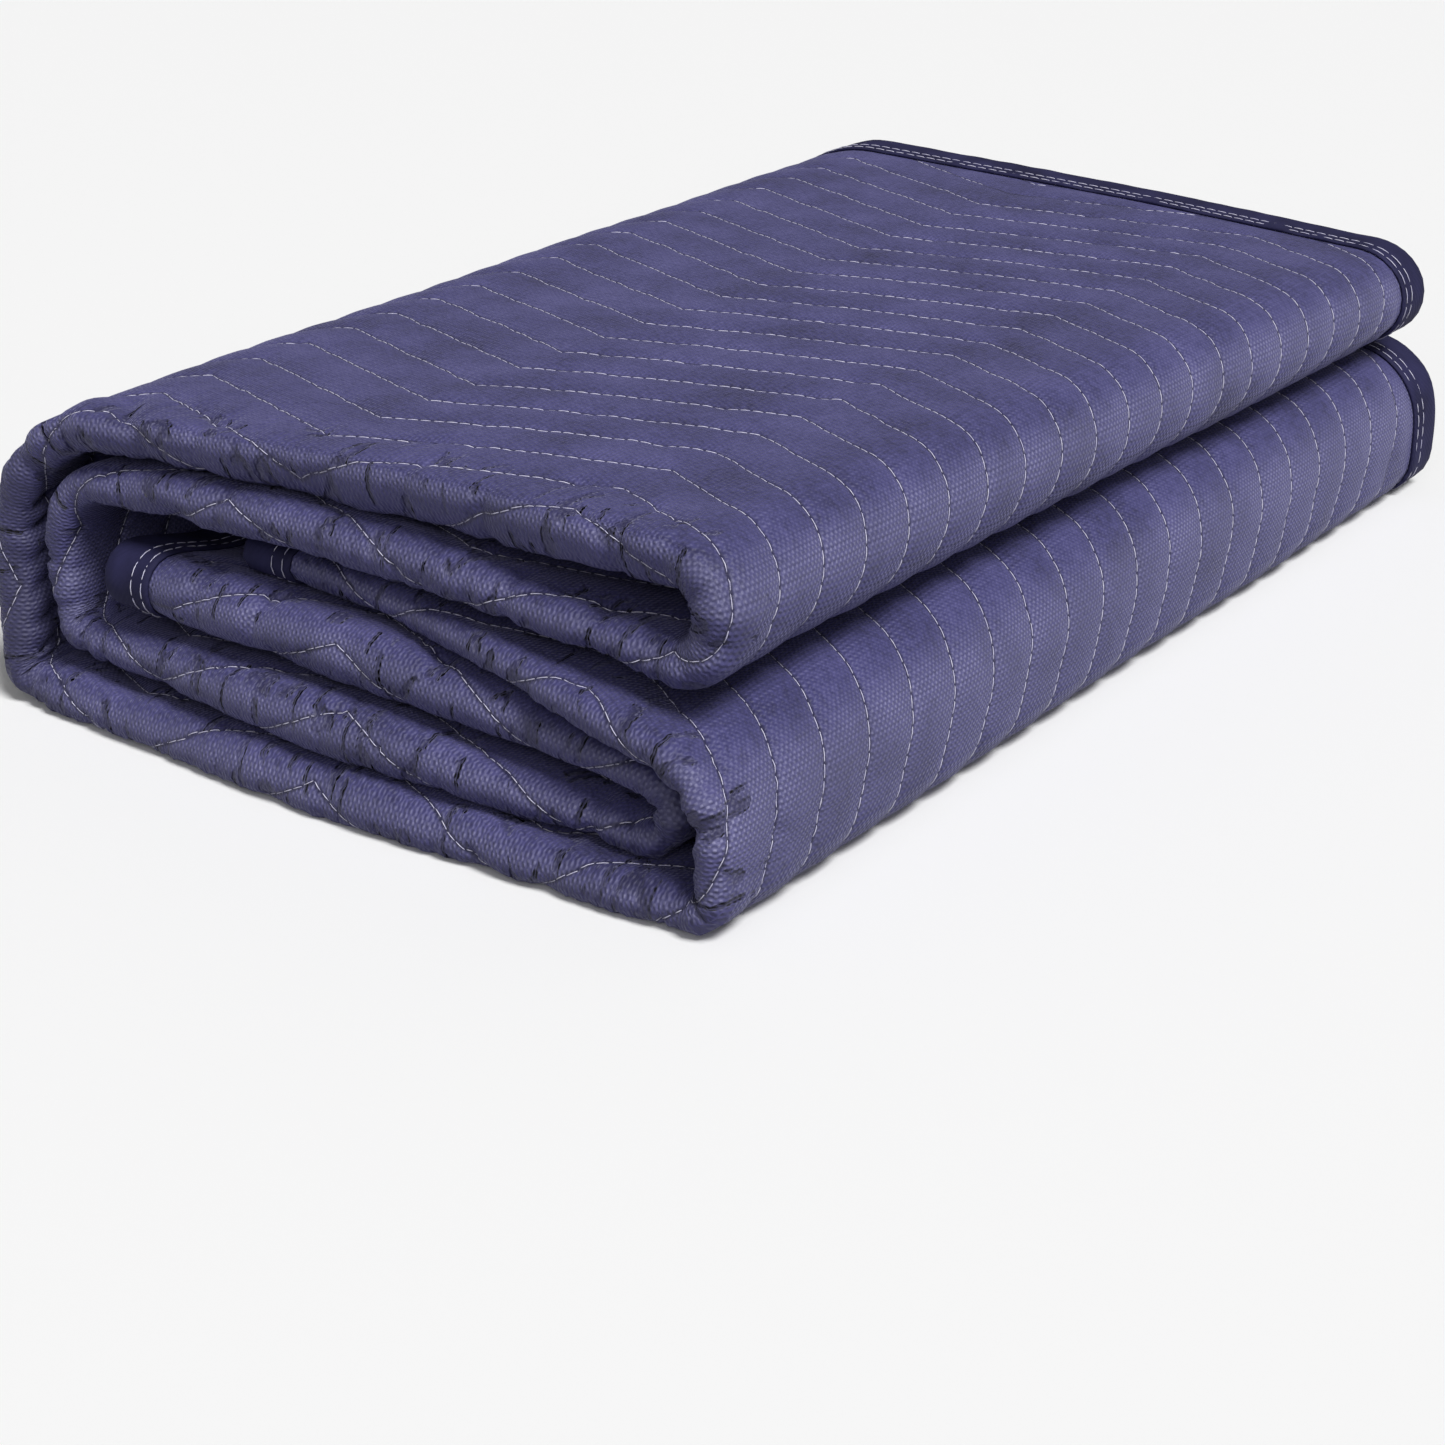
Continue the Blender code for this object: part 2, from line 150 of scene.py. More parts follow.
CREASES = (
    # the top layer's left bend
    SheetCrease(264, 26, 238, -8, 7, -2.6),
    SheetCrease(276, 22, 262, -4, 8, 1.5),
    SheetCrease(300, -8, 296, 16, 6, -1.8),
    # the top layer's front, and its right corner
    SheetCrease(98, -14, 95, 6, 5, -1.8),
    SheetCrease(46, -12, 43, 8, 5, -2.0),
    SheetCrease(27, -6, 23, 12, 5, -1.8),
    SheetCrease(10, -4, 5, 12, 5, -1.6),
    SheetCrease(-10, -4, -7, 10, 5, -1.4),
    # the layer below it, along its front
    SheetCrease(-259, -3, -226, 5, 6, -2.4),
    SheetCrease(-54, -16, -57, 6, 6, -2.0),
    SheetCrease(-88, -14, -92, 8, 5, -1.8),
    # the inside and the bottom of the outer bend
    SheetCrease(306, -40, 320, -9, 3.5, -2.4),
    SheetCrease(318, -42, 331, -8, 3.5, -2.6),
    SheetCrease(329, -38, 343, -9, 3.5, -2.4),
    SheetCrease(341, -44, 354, -8, 4, -2.8),
    SheetCrease(353, -40, 366, -9, 3.5, -2.4),
    SheetCrease(365, -36, 377, -8, 4, -2.6),
    SheetCrease(378, -28, 386, -4, 4, -2.4),
    SheetCrease(390, -20, 393, 8, 5, -2.4),
    SheetCrease(402, -12, 398, 8, 4, -1.8),
    # the inner bend
    SheetCrease(-286, -30, -296, -4, 4, -2.2),
    SheetCrease(-299, -34, -309, -4, 3.5, -2.4),
    SheetCrease(-312, -30, -321, -4, 4, -2.4),
    SheetCrease(-328, -14, -326, 4, 4, -1.8),
    SheetCrease(-341, -16, -345, 6, 4, -2.2),
    SheetCrease(-354, -14, -352, 6, 4, -1.8),
    # the bound end in the middle
    SheetCrease(-800, -18, -803, 5, 6, -2.4),
    SheetCrease(-770, -16, -777, 4, 5, -2.0),
    # the inner turn at the right, and the lower bend beside it
    SheetCrease(-569, -12, -566, 12, 6, -2.4),
    SheetCrease(-592, -10, -596, 12, 5, -2.2),
    SheetCrease(-607, -10, -603, 12, 5, -2.0),
    SheetCrease(716, -14, 718, 8, 6, -2.2),
    SheetCrease(733, -12, 729, 10, 5, -1.8),
)


def smooth(t: float) -> float:
    """Ease t from 0 to 1."""
    t = min(1.0, max(0.0, t))
    return t * t * (3.0 - 2.0 * t)


def blend(a: float, b: float, t: float) -> float:
    """Mix a and b: a at 0, b at 1."""
    return a + (b - a) * t


def linear(hex_code: str) -> tuple[float, float, float, float]:
    """Turn an sRGB hex value into a linear colour.

    Args:
        hex_code: six hex digits after a hash sign.

    Returns:
        Red, green, blue and an alpha of 1.
    """
    channels = [int(hex_code[i:i + 2], 16) / 255 for i in (1, 3, 5)]
    lin = [c / 12.92 if c <= 0.04045 else ((c + 0.055) / 1.055) ** 2.4 for c in channels]
    return (lin[0], lin[1], lin[2], 1.0)


def add_node(
    tree: bpy.types.NodeTree, kind: str, inputs: dict | Sequence = (), **settings
) -> bpy.types.Node:
    """Add a node with its settings, values and links.

    Args:
        tree: the material's node tree.
        kind: the node's Blender type.
        inputs: what its sockets get, in their order, or by their names or numbers: a value,
            an output socket, or a node, whose first output is then linked.
        settings: the node's own properties.

    Returns:
        The new node.
    """
    node = tree.nodes.new(kind)
    for name, value in settings.items():
        setattr(node, name, value)
    for key, value in inputs.items() if isinstance(inputs, dict) else enumerate(inputs):
        if isinstance(value, bpy.types.Node):
            value = value.outputs[0]
        if isinstance(value, bpy.types.NodeSocket):
            tree.links.new(value, node.inputs[key])
        else:
            node.inputs[key].default_value = value
    return node


def new_material(name: str) -> bpy.types.Material:
    """Start a material with an empty node tree.

    Args:
        name: what the real material is.

    Returns:
        The material.
    """
    made = bpy.data.materials.new(name)
    made.use_nodes = True
    made.node_tree.nodes.clear()
    return made


def ripple(x: float, y: float, z: float) -> float:
    """Smooth unevenness, about -1 to 1, at a point of the noise field."""
    return noise.noise(Vector((x, y, z)))


class Stop(NamedTuple):
    """One stop of a colour ramp: its place from 0 to 1 and its colour."""

    place: float
    colour: tuple[float, float, float, float]


def set_ramp(node: bpy.types.Node, stops: Sequence[Stop]) -> bpy.types.NodeSocket:
    """Give a colour ramp its stops.

    Args:
        node: the colour ramp node.
        stops: two or more stops in order.

    Returns:
        The ramp's colour output.
    """
    ramp = node.color_ramp
    while len(ramp.elements) < len(stops):
        ramp.elements.new(0.5)
    for element, stop in zip(ramp.elements, stops):
        element.position = stop.place
        element.color = stop.colour
    return node.outputs["Color"]


@dataclass
class Section:
    """The fold path in one upright plane, X and Z of the doubled sheet's middle."""

    at_front: bool
    span: float = 120 * MM
    stop_x: float = -160 * MM
    path_step: float = 1.5 * MM
    trace_step: float = 4 * MM
    arc_steps: int = 12
    relax_passes: int = 6
    points: list[Point] = field(default_factory=list)
    lengths: list[float] = field(default_factory=list)
    marks: dict[str, float] = field(default_factory=dict)

    def __post_init__(self) -> None:
        """Trace, even out and measure the path."""
        dense, spans = self.trace()
        indices = self.resample(dense, spans)
        self.relax()
        self.measure(indices)

    def height(self, layer: str, x: float) -> float:
        """Height of a layer at x, a parabola through its three stated heights.

        Args:
            layer: the layer's name.
            x: the place in X.

        Returns:
            The height of the layer's middle.
        """
        row = LAYERS[layer]
        left, middle, right = (h * MM for h in (row.z_front if self.at_front else row.z_back))
        q = x / self.span
        return middle + (right - left) / 2 * q + ((right + left) / 2 - middle) * q * q

    def turn(self, name: str) -> list[Point]:
        """Points of a turn from its lower to its upper layer.

        Args:
            name: the turn's name.

        Returns:
            The points of its two quarter rounds.
        """
        row = TURNS[name]
        reach = (row.reach_front if self.at_front else row.reach_back) * MM
        side = 1.0 if reach > 0 else -1.0
        r_low, r_high = row.r_low * MM, row.r_high * MM
        z_low = self.height(row.lower, reach - side * r_low)
        z_high = self.height(row.upper, reach - side * r_high)
        fit = min(1.0, (z_high - z_low) / (r_low + r_high))
        quarter = [math.pi / 2 * i / self.arc_steps for i in range(self.arc_steps + 1)]
        low = [
            (reach - side * r_low * (1 - math.sin(a)), z_low + r_low * fit * (1 - math.cos(a)))
            for a in quarter
        ]
        high = [
            (reach - side * r_high * (1 - math.cos(a)), z_high - r_high * fit * (1 - math.sin(a)))
            for a in quarter
        ]
        return low + high

    def layer(self, name: str, x_from: float, x_to: float) -> list[Point]:
        """Points of a layer between two places in X.

        Args:
            name: the layer's name.
            x_from: where it starts.
            x_to: where it stops.

        Returns:
            The points, with both ends.
        """
        count = max(2, int(abs(x_to - x_from) / self.trace_step))
        xs = [blend(x_from, x_to, i / count) for i in range(count + 1)]
        return [(x, self.height(name, x)) for x in xs]

    def trace(self) -> tuple[list[Point], list[tuple[str, int, int]]]:
        """Lay the path down from the inner bound end to the outer one.

        Returns:
            The path's points, and each layer's or turn's name with its first and last point.
        """
        inner_right = self.turn("inner_right")
        inner_left = self.turn("inner_left")
        top = self.turn("top_right")
        outer_left = self.turn("outer_left")
        lower_right = self.turn("lower_right")
        pieces = [
            ("layer_3", self.layer("layer_3", self.stop_x, inner_right[-1][0])),
            ("inner_right", inner_right[::-1]),
            ("layer_2", self.layer("layer_2", inner_right[0][0], inner_left[0][0])),
            ("inner_left", inner_left),
            ("layer_5", self.layer("layer_5", inner_left[-1][0], top[0][0])),
            ("top_right", top),
            ("layer_6", self.layer("layer_6", top[-1][0], outer_left[-1][0])),
            ("outer_left", outer_left[::-1]),
            ("layer_1", self.layer("layer_1", outer_left[0][0], lower_right[0][0])),
            ("lower_right", lower_right),
            ("layer_4", self.layer("layer_4", lower_right[-1][0], self.stop_x)),
        ]
        dense: list[Point] = []
        spans = []
        for name, points in pieces:
            start = len(dense)
            dense.extend(points if not dense else points[1:])
            spans.append((name, start, len(dense) - 1))
        return dense, spans

    def resample(self, dense: list[Point], spans: list[tuple[str, int, int]]) -> dict[str, int]:
        """Spread points evenly along the path.

        Args:
            dense: the traced points.
            spans: each layer's or turn's name with its first and last traced point.

        Returns:
            The number of the point at the middle of each layer and turn.
        """
        lengths = [0.0]
        for a, b in zip(dense, dense[1:]):
            lengths.append(lengths[-1] + math.dist(a, b))
        total = lengths[-1]
        count = int(total / self.path_step)
        j = 0
        for i in range(count + 1):
            s = total * i / count
            while j < len(lengths) - 2 and lengths[j + 1] < s:
                j += 1
            t = (s - lengths[j]) / max(lengths[j + 1] - lengths[j], TINY)
            a, b = dense[j], dense[j + 1]
            self.points.append((blend(a[0], b[0], t), blend(a[1], b[1], t)))
        return {
            name: round((lengths[start] + lengths[stop]) / 2 / total * count)
            for name, start, stop in spans
        }

    def relax(self) -> None:
        """Round off the joins between layers and turns."""
        points = self.points
        for _ in range(self.relax_passes):
            inner = [
                ((a[0] + 2 * b[0] + c[0]) / 4, (a[1] + 2 * b[1] + c[1]) / 4)
                for a, b, c in zip(points, points[1:], points[2:])
            ]
            points = [points[0]] + inner + [points[-1]]
        self.points = points

    def measure(self, indices: dict[str, int]) -> None:
        """Measure arc length from the top right crease, at every point and mark.

        Args:
            indices: the number of the point at the middle of each layer and turn.
        """
        lengths = [0.0]
        for a, b in zip(self.points, self.points[1:]):
            lengths.append(lengths[-1] + math.dist(a, b))
        zero = lengths[indices["top_right"]]
        self.lengths = [s - zero for s in lengths]
        self.marks = {name: self.lengths[i] for name, i in indices.items()}

    def at(self, u: float) -> Vector:
        """The path's point at arc length u.

        Args:
            u: arc length from the top right crease.

        Returns:
            The point's X and Z.
        """
        i = min(max(bisect.bisect_right(self.lengths, u) - 1, 0), len(self.lengths) - 2)
        t = (u - self.lengths[i]) / (self.lengths[i + 1] - self.lengths[i])
        a, b = self.points[i], self.points[i + 1]
        return Vector((blend(a[0], b[0], t), blend(a[1], b[1], t)))

    def direction(self, u: float, reach: float = 2 * MM) -> Vector:
        """The path's direction at arc length u."""
        return (self.at(u + reach) - self.at(u - reach)).normalized()

    def cross(self, layer: str, x: float, reach: int = 130) -> float:
        """Arc length where a layer passes x.

        Args:
            layer: the layer's name.
            x: the place in X.
            reach: how far from the layer's middle to look, in millimetres.

        Returns:
            The arc length, to the nearest millimetre step.
        """
        middle = self.marks[layer]
        places = [middle + i * MM for i in range(-reach, reach)]
        return min(places, key=lambda u: abs(self.at(u)[0] - x))


class Station(NamedTuple):
    """All that one place along the fold path fixes for the points across the sheet."""

    front: Vector
    back: Vector
    along_front: Vector
    along_back: Vector
    front_y: float
    back_y: float
    crease: float
    chevron: float
    flush: float


@dataclass
class FoldedSheet:
    """Sheet coordinates on the folded stack, with the sizes of the CAD part's source."""

    shift_x: float = 4.31 * MM
    shift_y: float = -0.445 * MM
    ply_full: float = 5.6 * MM
    half_gap: float = 3.6 * MM
    upper_length: float = 503 * MM
    lower_peep: float = 7 * MM
    inner_end_x: float = -100 * MM
    outer_end_x: float = -48 * MM
    hem_start: float = 30 * MM
    line_pitch: float = 24.2 * MM
    chevron_rise: float = 38 * MM
    first_line: float = 38.4 * MM
    crease_settles: float = 34 * MM
    flush_fade: float = 100 * MM
    front_waver: float = 1.6 * MM
    front_waver_length: float = 75 * MM
    front_waver_seed: float = 1.7
    roll_swell: float = 0.10
    roll_swell_length: float = 34 * MM
    roll_swell_seed: float = 7.3

    def __post_init__(self) -> None:
        """Match the front and back sections and list the guides along the path."""
        self.front = Section(True)
        self.back = Section(False)
        self.inner_end = self.front.cross("layer_3", self.inner_end_x)
        self.outer_end = self.front.cross("layer_4", self.outer_end_x)
        self.lower_length = self.upper_length + self.lower_peep
        pairs = sorted((u, self.back.marks[name]) for name, u in self.front.marks.items())
        first, last = pairs[0], pairs[-1]
        self.matches = (
            [(self.inner_end, first[1] + self.inner_end - first[0])]
            + pairs
            + [(self.outer_end, last[1] + self.outer_end - last[0])]
        )
        self.guides = self.list_guides()
        self.stations: dict[float, Station] = {}

    def list_guides(self) -> list[tuple[float, float, float, float]]:
        """Front edge, back edge and crease radius at the middle of each layer and turn.

        Returns:
            Rows of path place, front edge, back edge and crease radius, in order along the path.
        """
        guides = [(row.u * MM, row.front_y * MM, row.back_y * MM, row.crease * MM) for row in FRONT_DIPS]
        for name, u in self.front.marks.items():
            row = LAYERS.get(name) or TURNS[name]
            values = (row.front_y * MM, row.back_y * MM, row.crease * MM)
            guides.append((u, *values))
            if name == "layer_3":
                guides.append((self.inner_end, *values))
            if name == "layer_4":
                guides.append((self.outer_end, *values))
        return sorted(guides)

    def guide(self, u: float) -> tuple[float, ...]:
        """Front edge, back edge and crease radius at u.

        Args:
            u: arc length along the fold path.

        Returns:
            The three values, eased between the guides on either side.
        """
        rows = self.guides
        if u <= rows[0][0]:
            return rows[0][1:]
        for a, b in zip(rows, rows[1:]):
            if u <= b[0]:
                t = smooth((u - a[0]) / max(b[0] - a[0], TINY))
                return tuple(blend(p, q, t) for p, q in zip(a[1:], b[1:]))
        return rows[-1][1:]

    def chevron(self, u: float) -> float:
        """How far a quilting line lies from its middle at u; it runs straight into a short hem.

        Args:
            u: arc length along the fold path.

        Returns:
            The distance, positive towards the upper ply's bound edge.
        """
        u = min(max(u, self.inner_end + self.hem_start), self.outer_end - self.hem_start)
        i = bisect.bisect_right(CHEVRON_KINKS, u / MM) - 1
        t = (u / MM - CHEVRON_KINKS[i]) / (CHEVRON_KINKS[i + 1] - CHEVRON_KINKS[i])
        side = 0.5 if i % 2 == 0 else -0.5
        return self.chevron_rise * blend(side, -side, t)

    def at_back(self, u: float) -> float:
        """The back section's arc length on the fold line that passes u at the front.

        Args:
            u: arc length in the front section.

        Returns:
            The arc length in the back section.
        """
        for (f0, b0), (f1, b1) in zip(self.matches, self.matches[1:]):
            if u <= f1:
                break
        return blend(b0, b1, (u - f0) / (f1 - f0))

    def station(self, u: float) -> Station:
        """The values that u fixes, worked out once.

        Args:
            u: arc length along the fold path.

        Returns:
            The values, kept for the next call.
        """
        if u not in self.stations:
            front_y, back_y, crease = self.guide(u)
            u_back = self.at_back(u)
            waver = ripple(u / self.front_waver_length, self.front_waver_seed, 0.0)
            swell = ripple(u / self.roll_swell_length, self.roll_swell_seed, 0.0)
            self.stations[u] = Station(
                self.front.at(u),
                self.back.at(u_back),
                self.front.direction(u),
                self.back.direction(u_back),
                front_y + self.ply_full / 2 + waver * self.front_waver,
                back_y,
                crease * (1 + swell * self.roll_swell),
                self.chevron(u),
                smooth((u + self.flush_fade) / (2 * self.flush_fade)),
            )
        return self.stations[u]

    def place(self, u: float, v: float, lift: float = 0.0) -> Vector:
        """Place cloth point (u, v), lifted along its ply's outward normal.

        Args:
            u: arc length along the fold path.
            v: distance from the front crease, signed by ply.
            lift: how far outside the ply's middle.

        Returns:
            The point in the part's frame.
        """
        row = self.station(u)
        side = 1.0 if v >= 0 else -1.0
        run = abs(v)
        quarter = math.pi / 2 * row.crease
        stretch = (row.back_y - row.front_y - row.crease) / (self.upper_length - quarter)
        if run < quarter:
            a = run / row.crease
            y = row.front_y + row.crease * (1 - math.cos(a))
            w = row.crease * math.sin(a)
            dy, dw = math.sin(a), math.cos(a)
        else:
            y = row.front_y + row.crease + (run - quarter) * stretch
            t = (run - quarter) / self.crease_settles
            w = self.half_gap + (row.crease - self.half_gap) * (1 - smooth(t))
            dy, dw = 1.0, 0.0
        w *= side
        t = min(1.0, max(0.0, (y - row.front_y) / (row.back_y - row.front_y)))
        centre = row.front.lerp(row.back, t)
        along = row.along_front.lerp(row.along_back, t).normalized()
        normal = Vector((along[1], -along[0]))
        swell = max(0.0, abs(w) - self.half_gap)
        flat = centre - normal * swell * row.flush + normal * (w + side * dy * lift)
        return Vector((flat[0] + self.shift_x, y - dw * lift + self.shift_y, flat[1]))

    def seam_phase(self, u: float, v: float) -> float:
        """Place between two quilting lines, 0 on a line and 0.5 midway to the next."""
        phase = ((v - self.first_line - self.station(u).chevron) / self.line_pitch) % 1.0
        return min(phase, 1.0 - phase)


@dataclass
class QuiltRelief:
    """How the padding, the stitching and the folding raise the cloth's face."""

    sheet: FoldedSheet
    seam_lift: float = 1.35 * MM
    crown_lift: float = 2.75 * MM
    seam_reach: float = 2.6 * MM
    steep_share: float = 0.6
    pucker_height: float = 0.62 * MM
    pucker_length: float = 9.5 * MM
    pucker_length_on_roll: float = 12.5 * MM
    pucker_width: float = 26 * MM
    pucker_reach: float = 6 * MM
    pucker_off_seam: float = 0.35
    pucker_roll_gain: float = 0.6
    pucker_hollow: float = 0.35
    pucker_seed: float = 3.1
    notch_depth: float = 1.8 * MM
    notch_length: float = 11 * MM
    notch_width: float = 30 * MM
    notch_sharpness: float = 0.16
    notch_off_seam: float = 0.45
    notch_seed: float = 17.3
    notch_groups_seed: float = 23.8
    notch_group_share: float = 0.6
    notch_group_contrast: float = 1.4
    roll_start: float = 14 * MM
    roll_reach: float = 42 * MM
    sway_height: float = 0.7 * MM
    sway_length: float = 70 * MM
    sway_seed: float = 9.4
    crease_sharpness: float = 1.6
    crease_cutoff: float = 2.2

    def roll(self, v: float) -> float:
        """How near v is to the front roll, 1 on it and 0 well behind it."""
        return 1.0 - smooth((abs(v) - self.roll_start) / self.roll_reach)

    def lift(self, u: float, v: float) -> float:
        """Height of the cloth's face above its ply's middle at (u, v).

        Args:
            u: arc length along the fold path.
            v: distance from the front crease.

        Returns:
            The height.
        """
        phase = self.sheet.seam_phase(u, v)
        gap = phase * self.sheet.line_pitch
        steep = 1.0 - math.exp(-gap / self.seam_reach)
        crown = blend(math.sin(math.pi * phase), steep, self.steep_share)
        base = blend(self.seam_lift, self.crown_lift, crown)
        near_roll = self.roll(v)
        near_seam = math.exp(-gap / self.pucker_reach)
        length = blend(self.pucker_length, self.pucker_length_on_roll, near_roll)
        pucker = ripple(u / length, v / self.pucker_width, self.pucker_seed)
        pucker -= self.pucker_hollow * abs(pucker)
        strength = blend(self.pucker_off_seam, 1.0, near_seam) * (1.0 + self.pucker_roll_gain * near_roll)
        sway = ripple(u / self.sway_length, v / self.sway_length, self.sway_seed)
        return (
            base
            + pucker * strength * self.pucker_height
            + sway * self.sway_height
            - self.notch(u, v) * near_roll * blend(self.notch_off_seam, 1.0, near_seam)
            + self.creases(u, v)
        )

    def notch(self, u: float, v: float) -> float:
        """Depth of the narrow nips that run across the front rolls, where the fold gathers cloth.

        Args:
            u: arc length along the fold path.
            v: distance from the front crease.

        Returns:
            The depth, 0 between the nips and where a stretch has none.
        """
        wave = ripple(u / self.notch_length, v / self.notch_width, self.notch_seed)
        nip = max(0.0, 1.0 - abs(wave) / self.notch_sharpness)
        group = ripple(u / (3 * self.notch_length), v / self.notch_width, self.notch_groups_seed)
        kept = smooth(self.notch_group_share + self.notch_group_contrast * group)
        return self.notch_depth * nip * nip * kept

    def creases(self, u: float, v: float) -> float:
        """Sum of the listed creases at (u, v).

        Args:
            u: arc length along the fold path.
            v: distance from the front crease.

        Returns:
            The height that they add.
        """
        total = 0.0
        for row in CREASES:
            du, dv = (row.u1 - row.u0) * MM, (row.v1 - row.v0) * MM
            length = math.hypot(du, dv)
            pu, pv = u - row.u0 * MM, v - row.v0 * MM
            along = (pu * du + pv * dv) / length
            across = abs(pu * dv - pv * du) / length
            reach = row.width * MM
            if across < reach * self.crease_cutoff and -reach < along < length + reach:
                end = smooth((along + reach) / (2 * reach)) * smooth((length + reach - along) / (2 * reach))
                total += row.height * MM * end * math.exp(-(across / reach * self.crease_sharpness) ** 2)
        return total


class Detail(Enum):
    """How many rows and columns of the fine grid one cell of the outward face spans."""

    FINEST = (1, 1)
    SHOWN = (2, 1)
    UNDERNEATH = (4, 2)
    HIDDEN = (8, 5)


@dataclass
class QuiltedBody:
    """The quilted sheet itself, both faces, closed along its edges."""

    sheet: FoldedSheet
    relief: QuiltRelief
    row_step: float = 2.1 * MM
    back_face_rows: int = 8
    back_face_columns: int = 8
    front_strip: float = 66 * MM
    hem_lift: float = 1.5 * MM
    hem_depth: float = 21.5 * MM
    hem_rise: float = 8 * MM
    edge_fade: float = 40 * MM
    edge_clear: float = 1.5 * MM
    ground: float = 0.15 * MM
    shown_past_turn: float = 75 * MM
    shown_before_lower_turn: float = 60 * MM
    shown_past_lower_turn: float = 105 * MM
    column_shares: tuple[float, ...] = (0.0, 0.05, 0.12, 0.22, 0.36, 0.5, 0.64, 0.78, 0.88, 0.95)

    def shown(self, inset: float = 0.0) -> tuple[float, float, float, float]:
        """Where the cloth shows along the path.

        Args:
            inset: how far each stretch is drawn in.

        Returns:
            Start and stop of the stretch over the top, and of the one round the lower right.
        """
        marks = self.sheet.front.marks
        return (
            marks["top_right"] - self.shown_past_turn + inset,
            marks["outer_left"] + self.shown_past_turn - inset,
            marks["lower_right"] - self.shown_before_lower_turn + inset,
            marks["lower_right"] + self.shown_past_lower_turn - inset,
        )

    def rows(self) -> list[float]:
        """Places along the path: even steps, and one at each kink of the chevrons.

        Returns:
            The places in rising order.
        """
        sheet = self.sheet
        start, stop = sheet.inner_end + sheet.hem_start, sheet.outer_end - sheet.hem_start
        kinks = [k * MM for k in CHEVRON_KINKS if start < k * MM < stop]
        fixed = [sheet.inner_end, start] + kinks + [stop, sheet.outer_end]
        rows = [fixed[0]]
        for a, b in zip(fixed, fixed[1:]):
            count = 2 * max(1, round((b - a) / self.row_step / 2))
            rows += [blend(a, b, i / count) for i in range(1, count + 1)]
        return rows

    def columns(self) -> list[float]:
        """Places across the sheet, closer together beside each quilting line.

        Returns:
            The places in rising order, from one bound edge to the other.
        """
        sheet = self.sheet
        low = math.floor((-sheet.lower_length - sheet.first_line) / sheet.line_pitch)
        high = math.ceil((sheet.upper_length - sheet.first_line) / sheet.line_pitch)
        places = [
            sheet.first_line + (line + share) * sheet.line_pitch
            for line in range(low, high + 1)
            for share in self.column_shares
        ]
        first, last = self.edge_clear - sheet.lower_length, sheet.upper_length - self.edge_clear
        inside = [v for v in places if first < v < last]
        return [-sheet.lower_length] + inside + [sheet.upper_length]

    def column_v(self, u: float, place: float) -> float:
        """Where a column that follows the chevrons passes u; it straightens near the edges.

        Args:
            u: arc length along the fold path.
            place: the column's middle place across the sheet.

        Returns:
            The place across the sheet at u.
        """
        sheet = self.sheet
        room = min(place + sheet.lower_length, sheet.upper_length - place)
        return place + sheet.station(u).chevron * smooth(room / self.edge_fade)

    def face_lift(self, u: float, v: float) -> float:
        """Height of the outward face, pressed down to the hem near an edge.

        Args:
            u: arc length along the fold path.
            v: distance from the front crease.

        Returns:
            The height above the ply's middle.
        """
        sheet = self.sheet
        length = sheet.upper_length if v > 0 else sheet.lower_length
        from_edge = min(length - abs(v), u - sheet.inner_end, sheet.outer_end - u)
        puffed = self.relief.lift(u, v)
        return blend(self.hem_lift, puffed, smooth((from_edge - self.hem_depth) / self.hem_rise))

    def cells(self, us: Sequence[float], vs: Sequence[float]) -> list[tuple[int, int, int, int]]:
        """Cells of the outward face, fine where the face shows.

        Args:
            us: the rows.
            vs: the columns.

        Returns:
            First row, last row, first column and last column of each cell.
        """
        top_start, top_stop, right_start, right_stop = self.shown()
        row_bands = (
            (Detail.HIDDEN, top_start),
            (Detail.SHOWN, top_stop),
            (Detail.UNDERNEATH, right_start),
            (Detail.SHOWN, right_stop),
            (Detail.HIDDEN, us[-1] + MM),
        )
        # The lower ply is out of sight, the front rolls are finest, and the upper ply goes by its rows.
        column_bands = (
            (Detail.HIDDEN, -self.front_strip),
            (Detail.FINEST, self.front_strip),
            (None, vs[-1] + MM),
        )
        out = []
        for row_detail, r0, r1 in split_bands(us, row_bands, 2):
            for column_detail, c0, c1 in split_bands(vs, column_bands, 1):
                row_step, column_step = (column_detail or row_detail).value
                for i in range(r0, r1, row_step):
                    for j in range(c0, c1, column_step):
                        out.append((i, min(i + row_step, r1), j, min(j + column_step, c1)))
        return out

    def build(self, finish: bpy.types.Material) -> bpy.types.Object:
        """Mesh the sheet and dress it.

        Args:
            finish: the quilted cloth.

        Returns:
            The finished piece.
        """
        us, vs = self.rows(), self.columns()
        mesh = SheetMesh()
        outer = self.cells(us, vs)
        used = {(i, j) for a, b, c, d in outer for i in (a, b) for j in (c, d)}
        back_rows = coarse_steps(len(us), self.back_face_rows)
        back_columns = coarse_steps(len(vs), self.back_face_columns)
        used |= {(i, j) for i in back_rows for j in (0, len(vs) - 1)}
        used |= {(i, j) for i in (0, len(us) - 1) for j in back_columns}
        for i, j in sorted(used):
            u = us[i]
            v = self.column_v(u, vs[j])
            point = self.sheet.place(u, v, self.face_lift(u, v))
            point.z = max(point.z, self.ground)
            mesh.add(("out", i, j), point, (u, v))
        for a, b, c, d in outer:
            ring = walk_cell(a, b, c, d, used)
            mesh.face([("out", i, j) for i, j in ring])
        self.back_face(mesh, us, vs, used)
        piece = mesh.finish("quilted_cloth", finish)
        layer = piece.data.uv_layers.new(name="quilting")
        for loop in piece.data.loops:
            u, v = mesh.coords[loop.vertex_index]
            layer.data[loop.index].uv = (u, v - self.sheet.station(u).chevron)
        return piece

